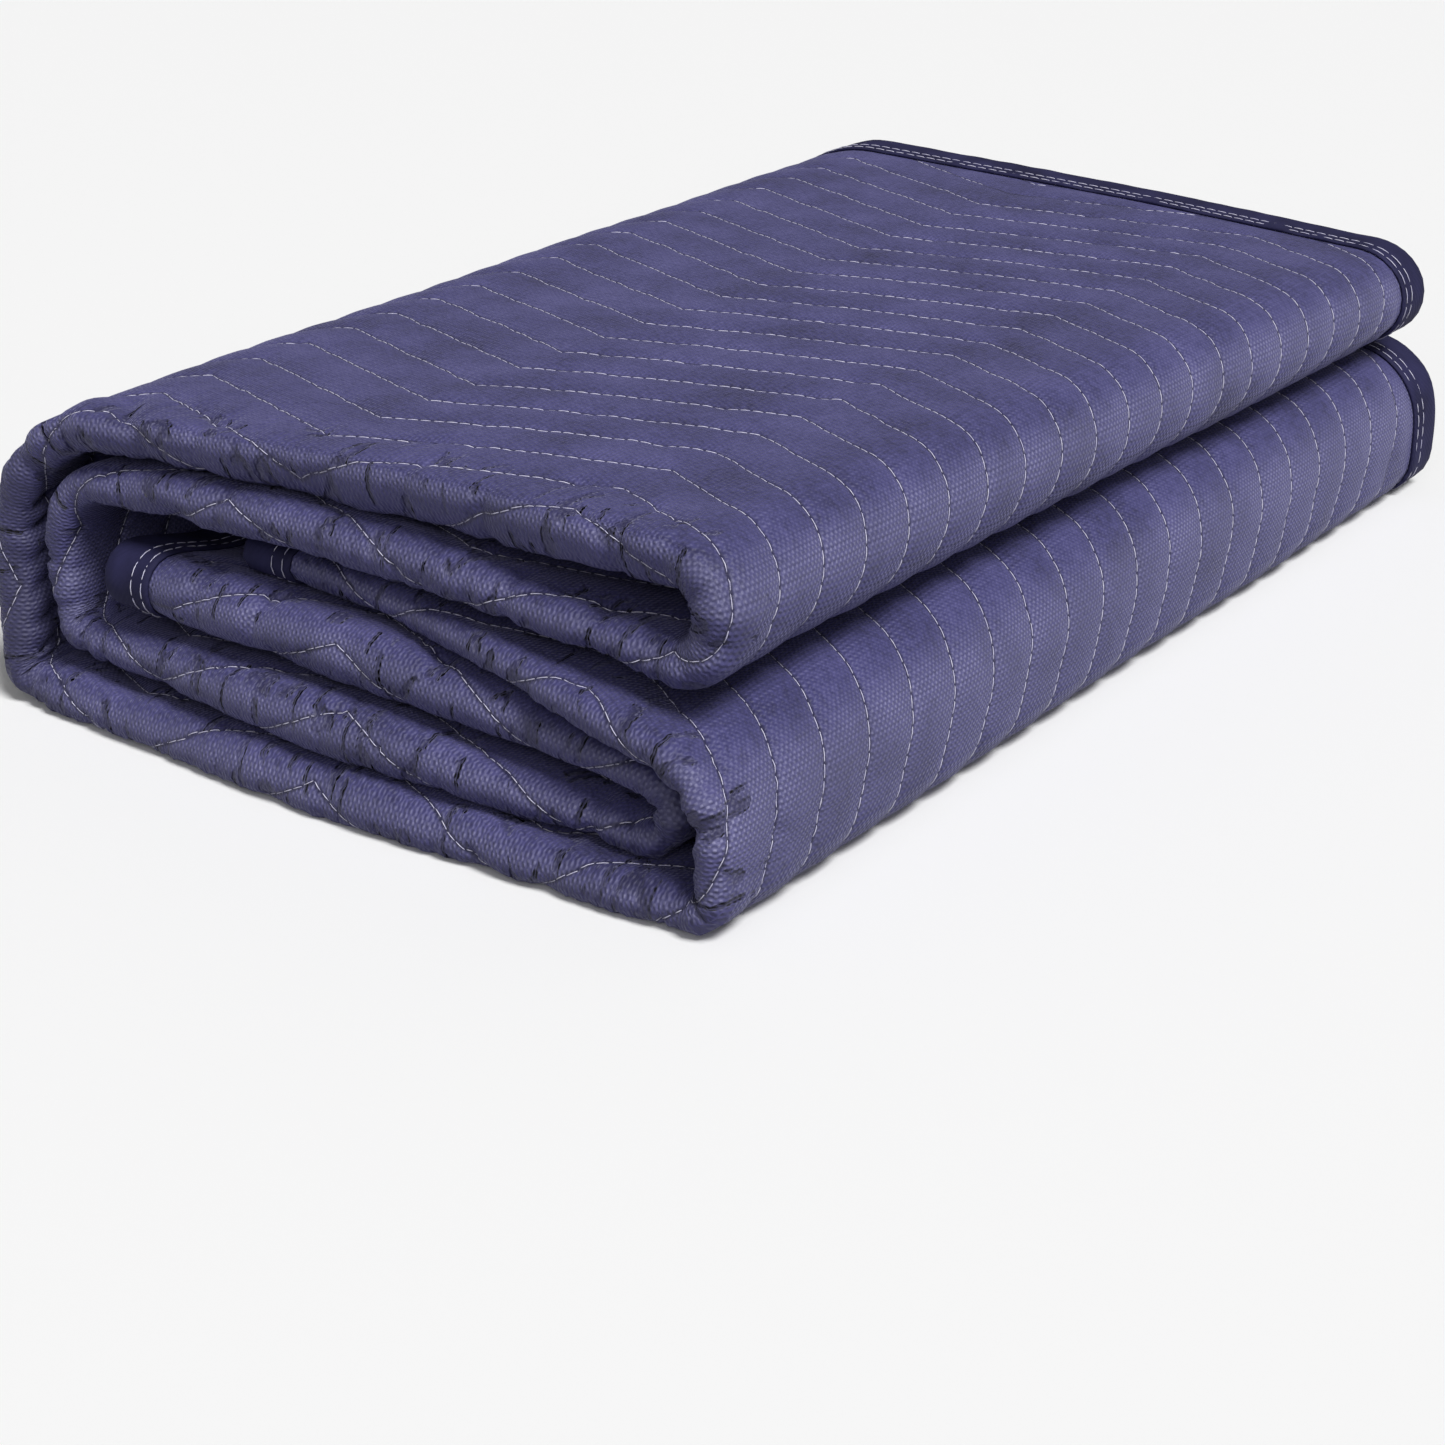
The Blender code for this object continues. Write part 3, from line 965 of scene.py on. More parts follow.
    def back_face(
        self, mesh: "SheetMesh", us: Sequence[float], vs: Sequence[float], used: set[tuple[int, int]]
    ) -> None:
        """Add the coarse inward face, which no one sees, and close the sheet's edges.

        Args:
            mesh: the mesh to add to.
            us: the rows.
            vs: the columns.
            used: the outward face's points.
        """
        last_row, last_column = len(us) - 1, len(vs) - 1
        rows = coarse_steps(len(us), self.back_face_rows)
        columns = coarse_steps(len(vs), self.back_face_columns)
        for i in rows:
            for j in columns:
                v = self.column_v(us[i], vs[j])
                mesh.add(("in", i, j), self.sheet.place(us[i], v, -self.hem_lift), (us[i], v))
        for a, b in zip(rows, rows[1:]):
            for c, d in zip(columns, columns[1:]):
                mesh.face([("in", a, c), ("in", b, c), ("in", b, d), ("in", a, d)])
        for a, b in zip(rows, rows[1:]):
            near = [("out", i, 0) for i in range(a, b + 1) if (i, 0) in used]
            far = [("out", i, last_column) for i in range(a, b + 1) if (i, last_column) in used]
            mesh.face([("in", b, 0), ("in", a, 0)] + near)
            mesh.face([("in", a, last_column), ("in", b, last_column)] + far[::-1])
        for c, d in zip(columns, columns[1:]):
            near = [("out", 0, j) for j in range(c, d + 1) if (0, j) in used]
            far = [("out", last_row, j) for j in range(c, d + 1) if (last_row, j) in used]
            mesh.face([("in", 0, c), ("in", 0, d)] + near[::-1])
            mesh.face([("in", last_row, d), ("in", last_row, c)] + far)


def coarse_steps(count: int, step: int) -> list[int]:
    """Every so many numbers below a count, the last one included."""
    return sorted(set(range(0, count - 1, step)) | {count - 1})


def split_bands(
    places: Sequence[float], bands: Sequence[tuple[Detail | None, float]], align: int
) -> list[tuple[Detail | None, int, int]]:
    """Cut a list of places into bands.

    Args:
        places: places in rising order.
        bands: each band's detail and where it stops.
        align: what number each band but the last stops at a multiple of.

    Returns:
        Each band's detail with its first and last place number.
    """
    out = []
    start = 0
    for detail, stop in bands:
        end = min(bisect.bisect_right(places, stop), len(places)) - 1
        if end < len(places) - 1:
            end -= end % align
        if end > start:
            out.append((detail, start, end))
            start = end
    return out


def walk_cell(a: int, b: int, c: int, d: int, used: set[tuple[int, int]]) -> list[tuple[int, int]]:
    """List a cell's corners and the used points on its sides, in order round it.

    Args:
        a: the cell's first row.
        b: its last row.
        c: its first column.
        d: its last column.
        used: the points that some cell uses as a corner.

    Returns:
        Row and column of each point.
    """
    ring = [(a, j) for j in range(c, d)]
    ring += [(i, d) for i in range(a, b)]
    ring += [(b, j) for j in range(d, c, -1)]
    ring += [(i, c) for i in range(b, a, -1)]
    return [place for place in ring if place in used]


class SheetMesh:
    """A mesh in the making, whose points carry sheet coordinates as their texture map."""

    def __init__(self) -> None:
        """Start empty."""
        self.points: list[Vector] = []
        self.coords: list[Point] = []
        self.faces: list[list[int]] = []
        self.numbers: dict[object, int] = {}

    def add(self, key: object, point: Vector, coord: Point) -> None:
        """Add a point under a key.

        Args:
            key: what the faces call it.
            point: its place in the part's frame.
            coord: its sheet coordinates.
        """
        self.numbers[key] = len(self.points)
        self.points.append(point)
        self.coords.append(coord)

    def face(self, keys: Sequence[object]) -> None:
        """Add a face from point keys, leaving out neighbours that are the same point.

        Args:
            keys: the face's points in order.
        """
        ring = [self.numbers[key] for key in keys]
        ring = [n for k, n in enumerate(ring) if n != ring[k - 1]]
        if len(ring) > 2:
            self.faces.append(ring)

    def finish(self, name: str, material: bpy.types.Material) -> bpy.types.Object:
        """Make the mesh object.

        Args:
            name: the piece's name.
            material: its finish.

        Returns:
            The object, linked to the scene and shaded smooth.
        """
        data = bpy.data.meshes.new(name)
        data.from_pydata([tuple(p) for p in self.points], [], self.faces)
        layer = data.uv_layers.new(name="sheet")
        for loop in data.loops:
            layer.data[loop.index].uv = self.coords[loop.vertex_index]
        data.polygons.foreach_set("use_smooth", [True] * len(data.polygons))
        data.validate()
        data.update()
        data.materials.append(material)
        piece = bpy.data.objects.new(name, data)
        bpy.context.scene.collection.objects.link(piece)
        return piece


class Edge(Enum):
    """The four edges of the sheet that carry tape."""

    UPPER_LONG = "binding_upper_long"
    LOWER_LONG = "binding_lower_long"
    INNER_END = "binding_inner_end"
    OUTER_END = "binding_outer_end"


@dataclass
class EdgeTape:
    """A tape folded over one edge of the sheet and sewn down."""

    sheet: FoldedSheet
    edge: Edge
    width: float = 20 * MM
    step: float = 3.2 * MM
    inner_half: float = 1.75 * MM
    wall: float = 0.95 * MM
    past_edge: float = 0.4 * MM
    nose_share: float = 0.7
    profile_shares: tuple[float, ...] = (1.0, 0.86, 0.5, 0.18)
    puff: float = 0.8 * MM
    puff_length: float = 9 * MM
    puff_off_seam: float = 0.4
    puff_seed: float = 5.5
    puff_profile_step: float = 0.3
    seam_share: float = 0.86
    seam_reach: float = 3 * MM
    stitch_rows: tuple[float, ...] = (12.3 * MM, 17.2 * MM)
    end_clear: float = 0.8 * MM
    ground: float = 0.1 * MM

    def place(self, s: float, inward: float, across: float) -> tuple[Vector, Point]:
        """Place a point of the tape, and give its sheet coordinates.

        Args:
            s: distance along the edge, in the sheet coordinate that runs along it.
            inward: distance from the sheet's edge.
            across: height over the ply's middle.

        Returns:
            The point in the part's frame, and its sheet coordinates.
        """
        sheet = self.sheet
        if self.edge is Edge.UPPER_LONG:
            u, v = s, sheet.upper_length - inward
        elif self.edge is Edge.LOWER_LONG:
            u, v = s, inward - sheet.lower_length
        elif self.edge is Edge.INNER_END:
            u, v = sheet.inner_end + inward, s
        else:
            u, v = sheet.outer_end - inward, s
        return sheet.place(u, v, across), (u, v)

    def span(self) -> tuple[float, float]:
        """Where the tape starts and stops along its edge.

        Returns:
            The first and last place along the edge; an end tape stops short of the long ones.
        """
        sheet = self.sheet
        if self.edge in (Edge.UPPER_LONG, Edge.LOWER_LONG):
            return sheet.inner_end, sheet.outer_end
        clear = self.width + self.end_clear
        return clear - sheet.lower_length, sheet.upper_length - clear

    def profile(self) -> list[Point]:
        """The tape's cross-section as (inward, across), outside first, then inside back.

        Returns:
            The points in order round it.
        """
        half, outer = self.inner_half, self.inner_half + self.wall
        nose_length = outer * self.nose_share
        bend = [math.pi / 2 - math.pi * i / 6 for i in range(7)]
        top = [(self.width * share, outer) for share in self.profile_shares]
        nose = [(-self.past_edge - nose_length * math.cos(a), outer * math.sin(a)) for a in bend]
        under = [(inward, -outer) for inward, _ in reversed(top)]
        inside = [(self.width, -half), (0.0, -half), (0.0, half), (self.width, half)]
        return top + nose + under + inside

    def build(self, finish: bpy.types.Material) -> bpy.types.Object:
        """Sweep the tape along its edge and dress it.

        Args:
            finish: the binding tape.

        Returns:
            The finished piece.
        """
        start, stop = self.span()
        count = round((stop - start) / self.step)
        profile = self.profile()
        mesh = SheetMesh()
        for i in range(count + 1):
            s = blend(start, stop, i / count)
            for k, (inward, across) in enumerate(profile):
                lift = across
                if abs(across) > self.inner_half:
                    row = k * self.puff_profile_step
                    wavy = ripple(s / self.puff_length, row, self.puff_seed) * self.puff
                    near_seam = math.exp(-abs(inward - self.width * self.seam_share) / self.seam_reach)
                    side = math.copysign(1.0, across)
                    lift += side * wavy * blend(self.puff_off_seam, 1.0, near_seam)
                point, coord = self.place(s, inward, lift)
                point.z = max(point.z, self.ground)
                mesh.add((i, k), point, coord)
        size = len(profile)
        for i in range(count):
            for k in range(size):
                n = (k + 1) % size
                mesh.face([(i, k), (i, n), (i + 1, n), (i + 1, k)])
        mesh.face([(0, k) for k in range(size)][::-1])
        mesh.face([(count, k) for k in range(size)])
        return mesh.finish(self.edge.value + "_tape", finish)


@dataclass
class StitchWork:
    """Lockstitches: short threads that lie in the cloth and dive into it at each end."""

    sheet: FoldedSheet
    pitch: float = 4.4 * MM
    dash: float = 3.9 * MM
    radius: float = 0.18 * MM
    sides: int = 4
    stray: float = 0.5 * MM
    stray_length: float = 5 * MM
    stray_seed: float = 2.2
    stray_line_step: float = 1.3
    tape_end_clear: float = 3 * MM
    tape_lift: float = 0.1 * MM
    ground: float = 0.1 * MM

    def thread(self, mesh: SheetMesh, ends: Callable[[float], tuple[Vector, Vector, Point]]) -> None:
        """Add one stitch, a thin grain that tapers to both ends.

        Args:
            mesh: the mesh to add to.
            ends: gives the point, outward normal and sheet coordinates at a share of the dash.
        """
        # rings: the share of the dash, the thickness and the rise, both in radii
        shares = ((0.0, 0.3, -0.55), (0.1, 0.85, 0.0), (0.5, 1.0, 0.35), (0.9, 0.85, 0.0), (1.0, 0.3, -0.55))
        base = len(mesh.points)
        tangent = (ends(1.0)[0] - ends(0.0)[0]).normalized()
        for share, thick, rise in shares:
            point, normal, coord = ends(share)
            across = tangent.cross(normal).normalized()
            for k in range(self.sides):
                a = 2 * math.pi * k / self.sides
                out = (across * math.cos(a) + normal * math.sin(a)) * self.radius * thick
                spot = point + normal * rise * self.radius + out
                spot.z = max(spot.z, self.ground)
                mesh.add((base, share, k), spot, coord)
        for (s0, _, _), (s1, _, _) in zip(shares, shares[1:]):
            for k in range(self.sides):
                n = (k + 1) % self.sides
                mesh.face([(base, s0, k), (base, s0, n), (base, s1, n), (base, s1, k)])
        mesh.face([(base, 0.0, k) for k in range(self.sides)][::-1])
        mesh.face([(base, 1.0, k) for k in range(self.sides)])

    def along_sheet(
        self, mesh: SheetMesh, place: Callable[[float], Point], lift: Callable[[float, float], float]
    ) -> None:
        """Add one stitch that lies on the sheet.

        Args:
            mesh: the mesh to add to.
            place: gives sheet coordinates at a share of the dash.
            lift: gives the cloth's face height at sheet coordinates.
        """
        sheet = self.sheet

        def ends(share: float) -> tuple[Vector, Vector, Point]:
            """Point, outward normal and sheet coordinates at a share of the dash."""
            u, v = place(share)
            low = sheet.place(u, v, lift(u, v))
            return low, (sheet.place(u, v, lift(u, v) + MM) - low).normalized(), (u, v)

        self.thread(mesh, ends)

    def stitch_starts(self) -> list[tuple[float, float]]:
        """Where each stitch of a chevron line starts along u, and how far it is to the next.

        Returns:
            The start and the step of each stitch.
        """
        starts = []
        for a, b in zip(CHEVRON_KINKS, CHEVRON_KINKS[1:]):
            length = math.hypot((b - a) * MM, self.sheet.chevron_rise)
            count = round(length / self.pitch)
            starts += [(blend(a, b, i / count) * MM, (b - a) * MM / count) for i in range(count)]
        return starts

    def quilting(
        self, name: str, body: QuiltedBody, stretches: Sequence["Stretch"], finish: bpy.types.Material
    ) -> bpy.types.Object:
        """Sew the chevron lines over some stretches of the sheet.

        Args:
            name: the piece's name.
            body: the quilted sheet.
            stretches: where the stitches show.
            finish: the thread.

        Returns:
            The finished piece.
        """
        sheet = self.sheet
        mesh = SheetMesh()
        starts = self.stitch_starts()
        for stretch in stretches:
            low = math.ceil((stretch.v0 - sheet.chevron_rise - sheet.first_line) / sheet.line_pitch)
            high = math.floor((stretch.v1 + sheet.chevron_rise - sheet.first_line) / sheet.line_pitch)
            for line in range(low, high + 1):
                middle = sheet.first_line + line * sheet.line_pitch
                for u0, step in starts:
                    if not stretch.u0 <= u0 < stretch.u1:
                        continue
                    row = line * self.stray_line_step
                    stray = ripple(u0 / self.stray_length, row, self.stray_seed) * self.stray

                    def place(share: float) -> Point:
                        """Sheet coordinates at a share of this dash."""
                        u = u0 + share * step * self.dash / self.pitch
                        return u, middle + sheet.chevron(u) + stray

                    v_mid = place(0.5)[1]
                    if stretch.v0 < v_mid < min(stretch.v1, sheet.upper_length - body.hem_depth):
                        self.along_sheet(mesh, place, body.face_lift)
        return mesh.finish(name, finish)

    def tape_rows(self, name: str, tape: EdgeTape, finish: bpy.types.Material) -> bpy.types.Object:
        """Sew rows of long stitches along a tape, on both of its faces.

        Args:
            name: the piece's name.
            tape: the tape.
            finish: the thread.

        Returns:
            The finished piece.
        """
        mesh = SheetMesh()
        start, stop = tape.span()
        count = int((stop - start - 2 * self.tape_end_clear) / self.pitch)
        height = tape.inner_half + tape.wall + self.tape_lift
        for side in (1.0, -1.0):
            for inward in tape.stitch_rows:
                for i in range(count):
                    s0 = start + self.tape_end_clear + i * self.pitch

                    def ends(share: float) -> tuple[Vector, Vector, Point]:
                        """Point, outward normal and sheet coordinates at a share of this dash."""
                        s = s0 + share * self.dash
                        low, coord = tape.place(s, inward, side * height)
                        high, _ = tape.place(s, inward, side * (height + MM))
                        return low, (high - low).normalized(), coord

                    self.thread(mesh, ends)
        return mesh.finish(name, finish)


class Stretch(NamedTuple):
    """A stretch of the sheet, from (u0, v0) to (u1, v1)."""

    u0: float
    v0: float
    u1: float
    v1: float


class Fade(NamedTuple):
    """How one value follows another, in the order of a Map Range node's sockets.

    It is first where the other is at start or before, and last where it is at stop or beyond.
    """

    start: float
    stop: float
    first: float
    last: float


@dataclass(frozen=True)
class QuiltCloth:
    """Polyester-cotton plain weave over fibre padding, dyed in the piece and quilted.

    The dye takes a little unevenly, so the blue is mottled. Over it lie a band of painted light
    on the upright sides of the turns, painted highlights as fine pale dots on its threads, and
    painted shade at the front of the outer left bend, in the quilting grooves and in the nips.
    Loose fibre ends give a pale sheen at grazing angles.
    """

    deep: str = "#242246"
    base: str = "#403e70"
    light: str = "#575489"
    # Painted shade, laid in the quilting grooves and in the nips across the front rolls
    groove_painted_shade: str = "#1c1a38"
    # Painted highlight on the threads, shown as fine pale dots
    thread_painted_highlight: str = "#8d8bb0"
    # Painted light, a paler band on the upright sides of the turns
    painted_light_band: str = "#6e6d92"
    # Painted shade at the front of the outer left bend
    bend_painted_shade: str = "#232142"
    sheen: str = "#a09fc8"
    roughness: float = 0.6
    specular: float = 0.5
    sheen_weight: float = 0.4
    sheen_roughness: float = 0.45
    thread_pitch: float = 1.05 * MM
    thread_depth: float = 0.4 * MM
    threads_to_rib: float = 1.5
    rib_height: float = 0.42
    patches_per_m: float = 26.0
    flecks_per_m: float = 420.0
    fleck_share: float = 0.4
    puckers_per_m: tuple[float, float, float] = (150.0, 45.0, 1.0)
    pucker_depth: float = 0.5 * MM
    nips_per_m: tuple[float, float, float] = (62.0, 22.0, 1.0)
    nip_groups_per_m: float = 80.0
    nip_depth: float = 1.9 * MM
    # how much painted shade the nips get
    nip_shade_share: float = 0.7
    light_band_share: float = 0.36
    # how much painted shade the outer left bend gets
    bend_shade_share: float = 0.9
    bend_place: float = 348 * MM
    seam_shade: Fade = Fade(0.2 * MM, 1.2 * MM, 0.8, 0.0)
    # where the band of painted light lies, by which way the surface faces
    off_underside: Fade = Fade(-0.3, 0.25, 0.0, 1.0)
    off_top: Fade = Fade(0.4, 0.85, 1.0, 0.12)
    # where the threads' dots get their painted highlight
    dot_glint: Fade = Fade(0.5, 0.9, 0.0, 0.75)
    dot_patches: Fade = Fade(0.42, 0.62, 0.45, 1.0)
    # reach of the painted shade at the outer left bend
    near_bend: Fade = Fade(31 * MM, 62 * MM, 1.0, 0.0)
    bend_patches: Fade = Fade(0.35, 0.6, 1.0, 0.45)
    near_crease: Fade = Fade(14 * MM, 30 * MM, 1.0, 0.0)
    nip_line: Fade = Fade(0.0, 0.04, 1.0, 0.0)
    nip_groups: Fade = Fade(0.47, 0.56, 0.0, 1.0)

    def material(self, sheet: FoldedSheet) -> bpy.types.Material:
        """Build the cloth's material.

        Args:
            sheet: gives the quilting lines' sizes.

        Returns:
            The material.
        """
        made = new_material("quilted_woven_cloth")
        tree = made.node_tree
        coords = add_node(tree, "ShaderNodeUVMap", uv_map="sheet")
        split = add_node(tree, "ShaderNodeSeparateXYZ", (coords,))
        u, v = split.outputs["X"], split.outputs["Y"]
        from_crease = add_node(tree, "ShaderNodeMath", (v,), operation="ABSOLUTE")
        on_roll = add_node(tree, "ShaderNodeMapRange", (from_crease, *self.near_crease), **EASED)
        patch = add_node(
            tree, "ShaderNodeTexNoise",
            {"Vector": coords, "Scale": self.patches_per_m, "Detail": 3.0, "Roughness": 0.6},
        )
        dots, weave = self.weave(tree, u, v)
        nips = self.nips(tree, coords, on_roll)
        # painted shade laid in the nips
        nip_shade = add_node(tree, "ShaderNodeMath", (nips, self.nip_shade_share), operation="MULTIPLY")
        gap = self.seam_gap(tree, sheet)
        # painted shade along the quilting grooves
        seam_shade = add_node(tree, "ShaderNodeMapRange", (gap, *self.seam_shade), **EASED)
        # the band of painted light on the upright sides of the turns
        light_band = self.light_band(tree)
        # painted highlights on the threads' dots, only inside the band of painted light
        dot_glint = add_node(tree, "ShaderNodeMapRange", (dots, *self.dot_glint), **EASED)
        dot_patches = add_node(tree, "ShaderNodeMapRange", (patch, *self.dot_patches))
        dot_share = add_node(tree, "ShaderNodeMath", (dot_patches, light_band), operation="MULTIPLY")
        # Painted light and shade laid over the dye: a band of painted light on the turns' upright sides,
        # painted highlights on its threads, painted shade at the outer left bend, then painted shade in the
        # nips and along the quilting grooves
        shades = (
            (self.painted_light_band, "MULTIPLY", light_band, self.light_band_share),
            (self.thread_painted_highlight, "MULTIPLY", dot_glint, dot_share),
            (self.bend_painted_shade, "MULTIPLY", self.bend_shade_mask(tree, u, patch, on_roll), self.bend_shade_share),
            (self.groove_painted_shade, "MAXIMUM", nip_shade, seam_shade),
        )
        colour = self.dyed(tree, coords, patch)
        for shade, operation, one, other in shades:
            share = add_node(tree, "ShaderNodeMath", (one, other), operation=operation)
            mix = {0: share, 6: colour, 7: linear(shade)}
            colour = add_node(tree, "ShaderNodeMix", mix, data_type="RGBA").outputs[2]
        shader = add_node(
            tree, "ShaderNodeBsdfPrincipled",
            {
                "Base Color": colour, "Roughness": self.roughness, "Specular IOR Level": self.specular,
                "Sheen Weight": self.sheen_weight, "Sheen Roughness": self.sheen_roughness,
                "Sheen Tint": linear(self.sheen), "Normal": self.relief(tree, coords, nips, weave),
            },
        )
        add_node(tree, "ShaderNodeOutputMaterial", (shader,))
        return made

    def weave(
        self, tree: bpy.types.NodeTree, u: bpy.types.NodeSocket, v: bpy.types.NodeSocket
    ) -> tuple[bpy.types.Node, bpy.types.Node]:
        """Nodes for the threads of a plain weave.

        Args:
            tree: the material's node tree.
            u: the sheet coordinate along the path.
            v: the sheet coordinate across the sheet.

        Returns:
            The threads that stand as dots, 0 to 1, and the height of dots and ribs together.
        """
        # Real thread pitch is about 0.5 mm; it is drawn at twice that, or it would not show.
        turns = math.pi / self.thread_pitch
        waves = []
        for place, scale in ((u, turns), (v, turns), (u, 2 * turns / self.threads_to_rib)):
            angle = add_node(tree, "ShaderNodeMath", (place, scale), operation="MULTIPLY")
            waves.append(add_node(tree, "ShaderNodeMath", (angle,), operation="SINE"))
        warp, weft, ribs = waves
        dots = add_node(tree, "ShaderNodeMath", (warp, weft), operation="MULTIPLY")
        dots = add_node(tree, "ShaderNodeMath", (dots, 0.5, 0.5), operation="MULTIPLY_ADD")
        height = add_node(tree, "ShaderNodeMath", (ribs, self.rib_height, dots), operation="MULTIPLY_ADD")
        return dots, height

    def dyed(
        self, tree: bpy.types.NodeTree, coords: bpy.types.Node, patch: bpy.types.Node
    ) -> bpy.types.NodeSocket:
        """Nodes for the mottled dye.

        Args:
            tree: the material's node tree.
            coords: the sheet coordinates.
            patch: the soft noise of its patches, to which flecks are added.

        Returns:
            The colour's socket.
        """
        fleck = add_node(
            tree, "ShaderNodeTexNoise", {"Vector": coords, "Scale": self.flecks_per_m, "Detail": 2.0}
        )
        mottle = add_node(tree, "ShaderNodeMix", {0: self.fleck_share, 2: patch, 3: fleck})
        return set_ramp(
            add_node(tree, "ShaderNodeValToRGB", (mottle,)),
            (Stop(0.32, linear(self.deep)), Stop(0.5, linear(self.base)), Stop(0.7, linear(self.light))),
        )

    def light_band(self, tree: bpy.types.NodeTree) -> bpy.types.Node:
        """Nodes for the band of painted light: 1 on the upright sides of the turns, and little or nothing
        elsewhere.

        Args:
            tree: the material's node tree.

        Returns:
            The share's node.
        """
        shape = add_node(tree, "ShaderNodeNewGeometry")
        split = add_node(tree, "ShaderNodeSeparateXYZ", (shape.outputs["Normal"],))
        sides = [
            add_node(tree, "ShaderNodeMapRange", (split.outputs["Z"], *fade), **EASED)
            for fade in (self.off_underside, self.off_top)
        ]
        return add_node(tree, "ShaderNodeMath", sides, operation="MULTIPLY")

    def bend_shade_mask(
        self, tree: bpy.types.NodeTree, u: bpy.types.NodeSocket, patch: bpy.types.Node,
        on_roll: bpy.types.Node,
    ) -> bpy.types.Node:
        """Nodes for painted shade at the front end of the outer left bend.

        Args:
            tree: the material's node tree.
            u: the sheet coordinate along the path.
            patch: a soft noise that breaks up the edge.
            on_roll: 1 on the front rolls.

        Returns:
            The share's node, 0 elsewhere.
        """
        from_bend = add_node(tree, "ShaderNodeMath", (u, self.bend_place), operation="SUBTRACT")
        from_bend = add_node(tree, "ShaderNodeMath", (from_bend,), operation="ABSOLUTE")
        near = add_node(tree, "ShaderNodeMapRange", (from_bend, *self.near_bend), **EASED)
        near = add_node(tree, "ShaderNodeMath", (near, on_roll), operation="MULTIPLY")
        broken = add_node(tree, "ShaderNodeMapRange", (patch, *self.bend_patches))
        return add_node(tree, "ShaderNodeMath", (near, broken), operation="MULTIPLY")

    def nips(
        self, tree: bpy.types.NodeTree, coords: bpy.types.Node, on_roll: bpy.types.Node
    ) -> bpy.types.Node:
        """Nodes that give 1 in the short nips that run across the front rolls, and 0 beside them. The
        material presses them in as bump and lays painted shade in them.

        Args:
            tree: the material's node tree.
            coords: the sheet coordinates.
            on_roll: 1 on the front rolls.

        Returns:
            The nips' node.
        """
        drawn = add_node(tree, "ShaderNodeMapping", {"Vector": coords, "Scale": self.nips_per_m})
        wave = add_node(
            tree, "ShaderNodeTexNoise", {"Vector": drawn, "Scale": 1.0, "Detail": 1.5, "Distortion": 0.3}
        )
        off = add_node(tree, "ShaderNodeMath", (wave, 0.5), operation="SUBTRACT")
        off = add_node(tree, "ShaderNodeMath", (off,), operation="ABSOLUTE")
        line = add_node(tree, "ShaderNodeMapRange", (off, *self.nip_line), **EASED)
        groups = add_node(
            tree, "ShaderNodeTexNoise", {"Vector": coords, "Scale": self.nip_groups_per_m, "Detail": 1.0}
        )
        groups = add_node(tree, "ShaderNodeMapRange", (groups, *self.nip_groups), **EASED)
        kept = add_node(tree, "ShaderNodeMath", (line, groups), operation="MULTIPLY")
        return add_node(tree, "ShaderNodeMath", (kept, on_roll), operation="MULTIPLY")

    def seam_gap(self, tree: bpy.types.NodeTree, sheet: FoldedSheet) -> bpy.types.Node:
        """Nodes that give the distance across the sheet to the nearest quilting line, in metres.

        Args:
            tree: the material's node tree.
            sheet: gives the quilting lines' sizes.

        Returns:
            The distance's node.
        """
        coords = add_node(tree, "ShaderNodeUVMap", uv_map="quilting")
        across = add_node(tree, "ShaderNodeSeparateXYZ", (coords,)).outputs["Y"]
        from_first = add_node(tree, "ShaderNodeMath", (across, sheet.first_line), operation="SUBTRACT")
        return add_node(tree, "ShaderNodeMath", (from_first, sheet.line_pitch / 2), operation="PINGPONG")

    def relief(
        self, tree: bpy.types.NodeTree, coords: bpy.types.Node, nips: bpy.types.Node,
        weave: bpy.types.Node,
    ) -> bpy.types.Node:
        """Nodes for the fine relief: shallow puckers, nips pressed in, and threads on top.

        Args:
            tree: the material's node tree.
            coords: the sheet coordinates.
            nips: 1 in the nips.
            weave: the threads' height.

        Returns:
            The last bump node.
        """
        stretched = add_node(tree, "ShaderNodeMapping", {"Vector": coords, "Scale": self.puckers_per_m})
        puckers = add_node(tree, "ShaderNodeTexNoise", {"Vector": stretched, "Scale": 1.0, "Detail": 3.0})
        raised = add_node(
            tree, "ShaderNodeBump", {"Height": puckers, "Distance": self.pucker_depth, "Strength": 0.6}
        )
        nipped = add_node(
            tree, "ShaderNodeBump",
            {"Height": nips, "Distance": self.nip_depth, "Strength": 1.0, "Normal": raised}, invert=True,
        )
        return add_node(
            tree, "ShaderNodeBump",
            {"Height": weave, "Distance": self.thread_depth, "Strength": 0.7, "Normal": nipped},
        )


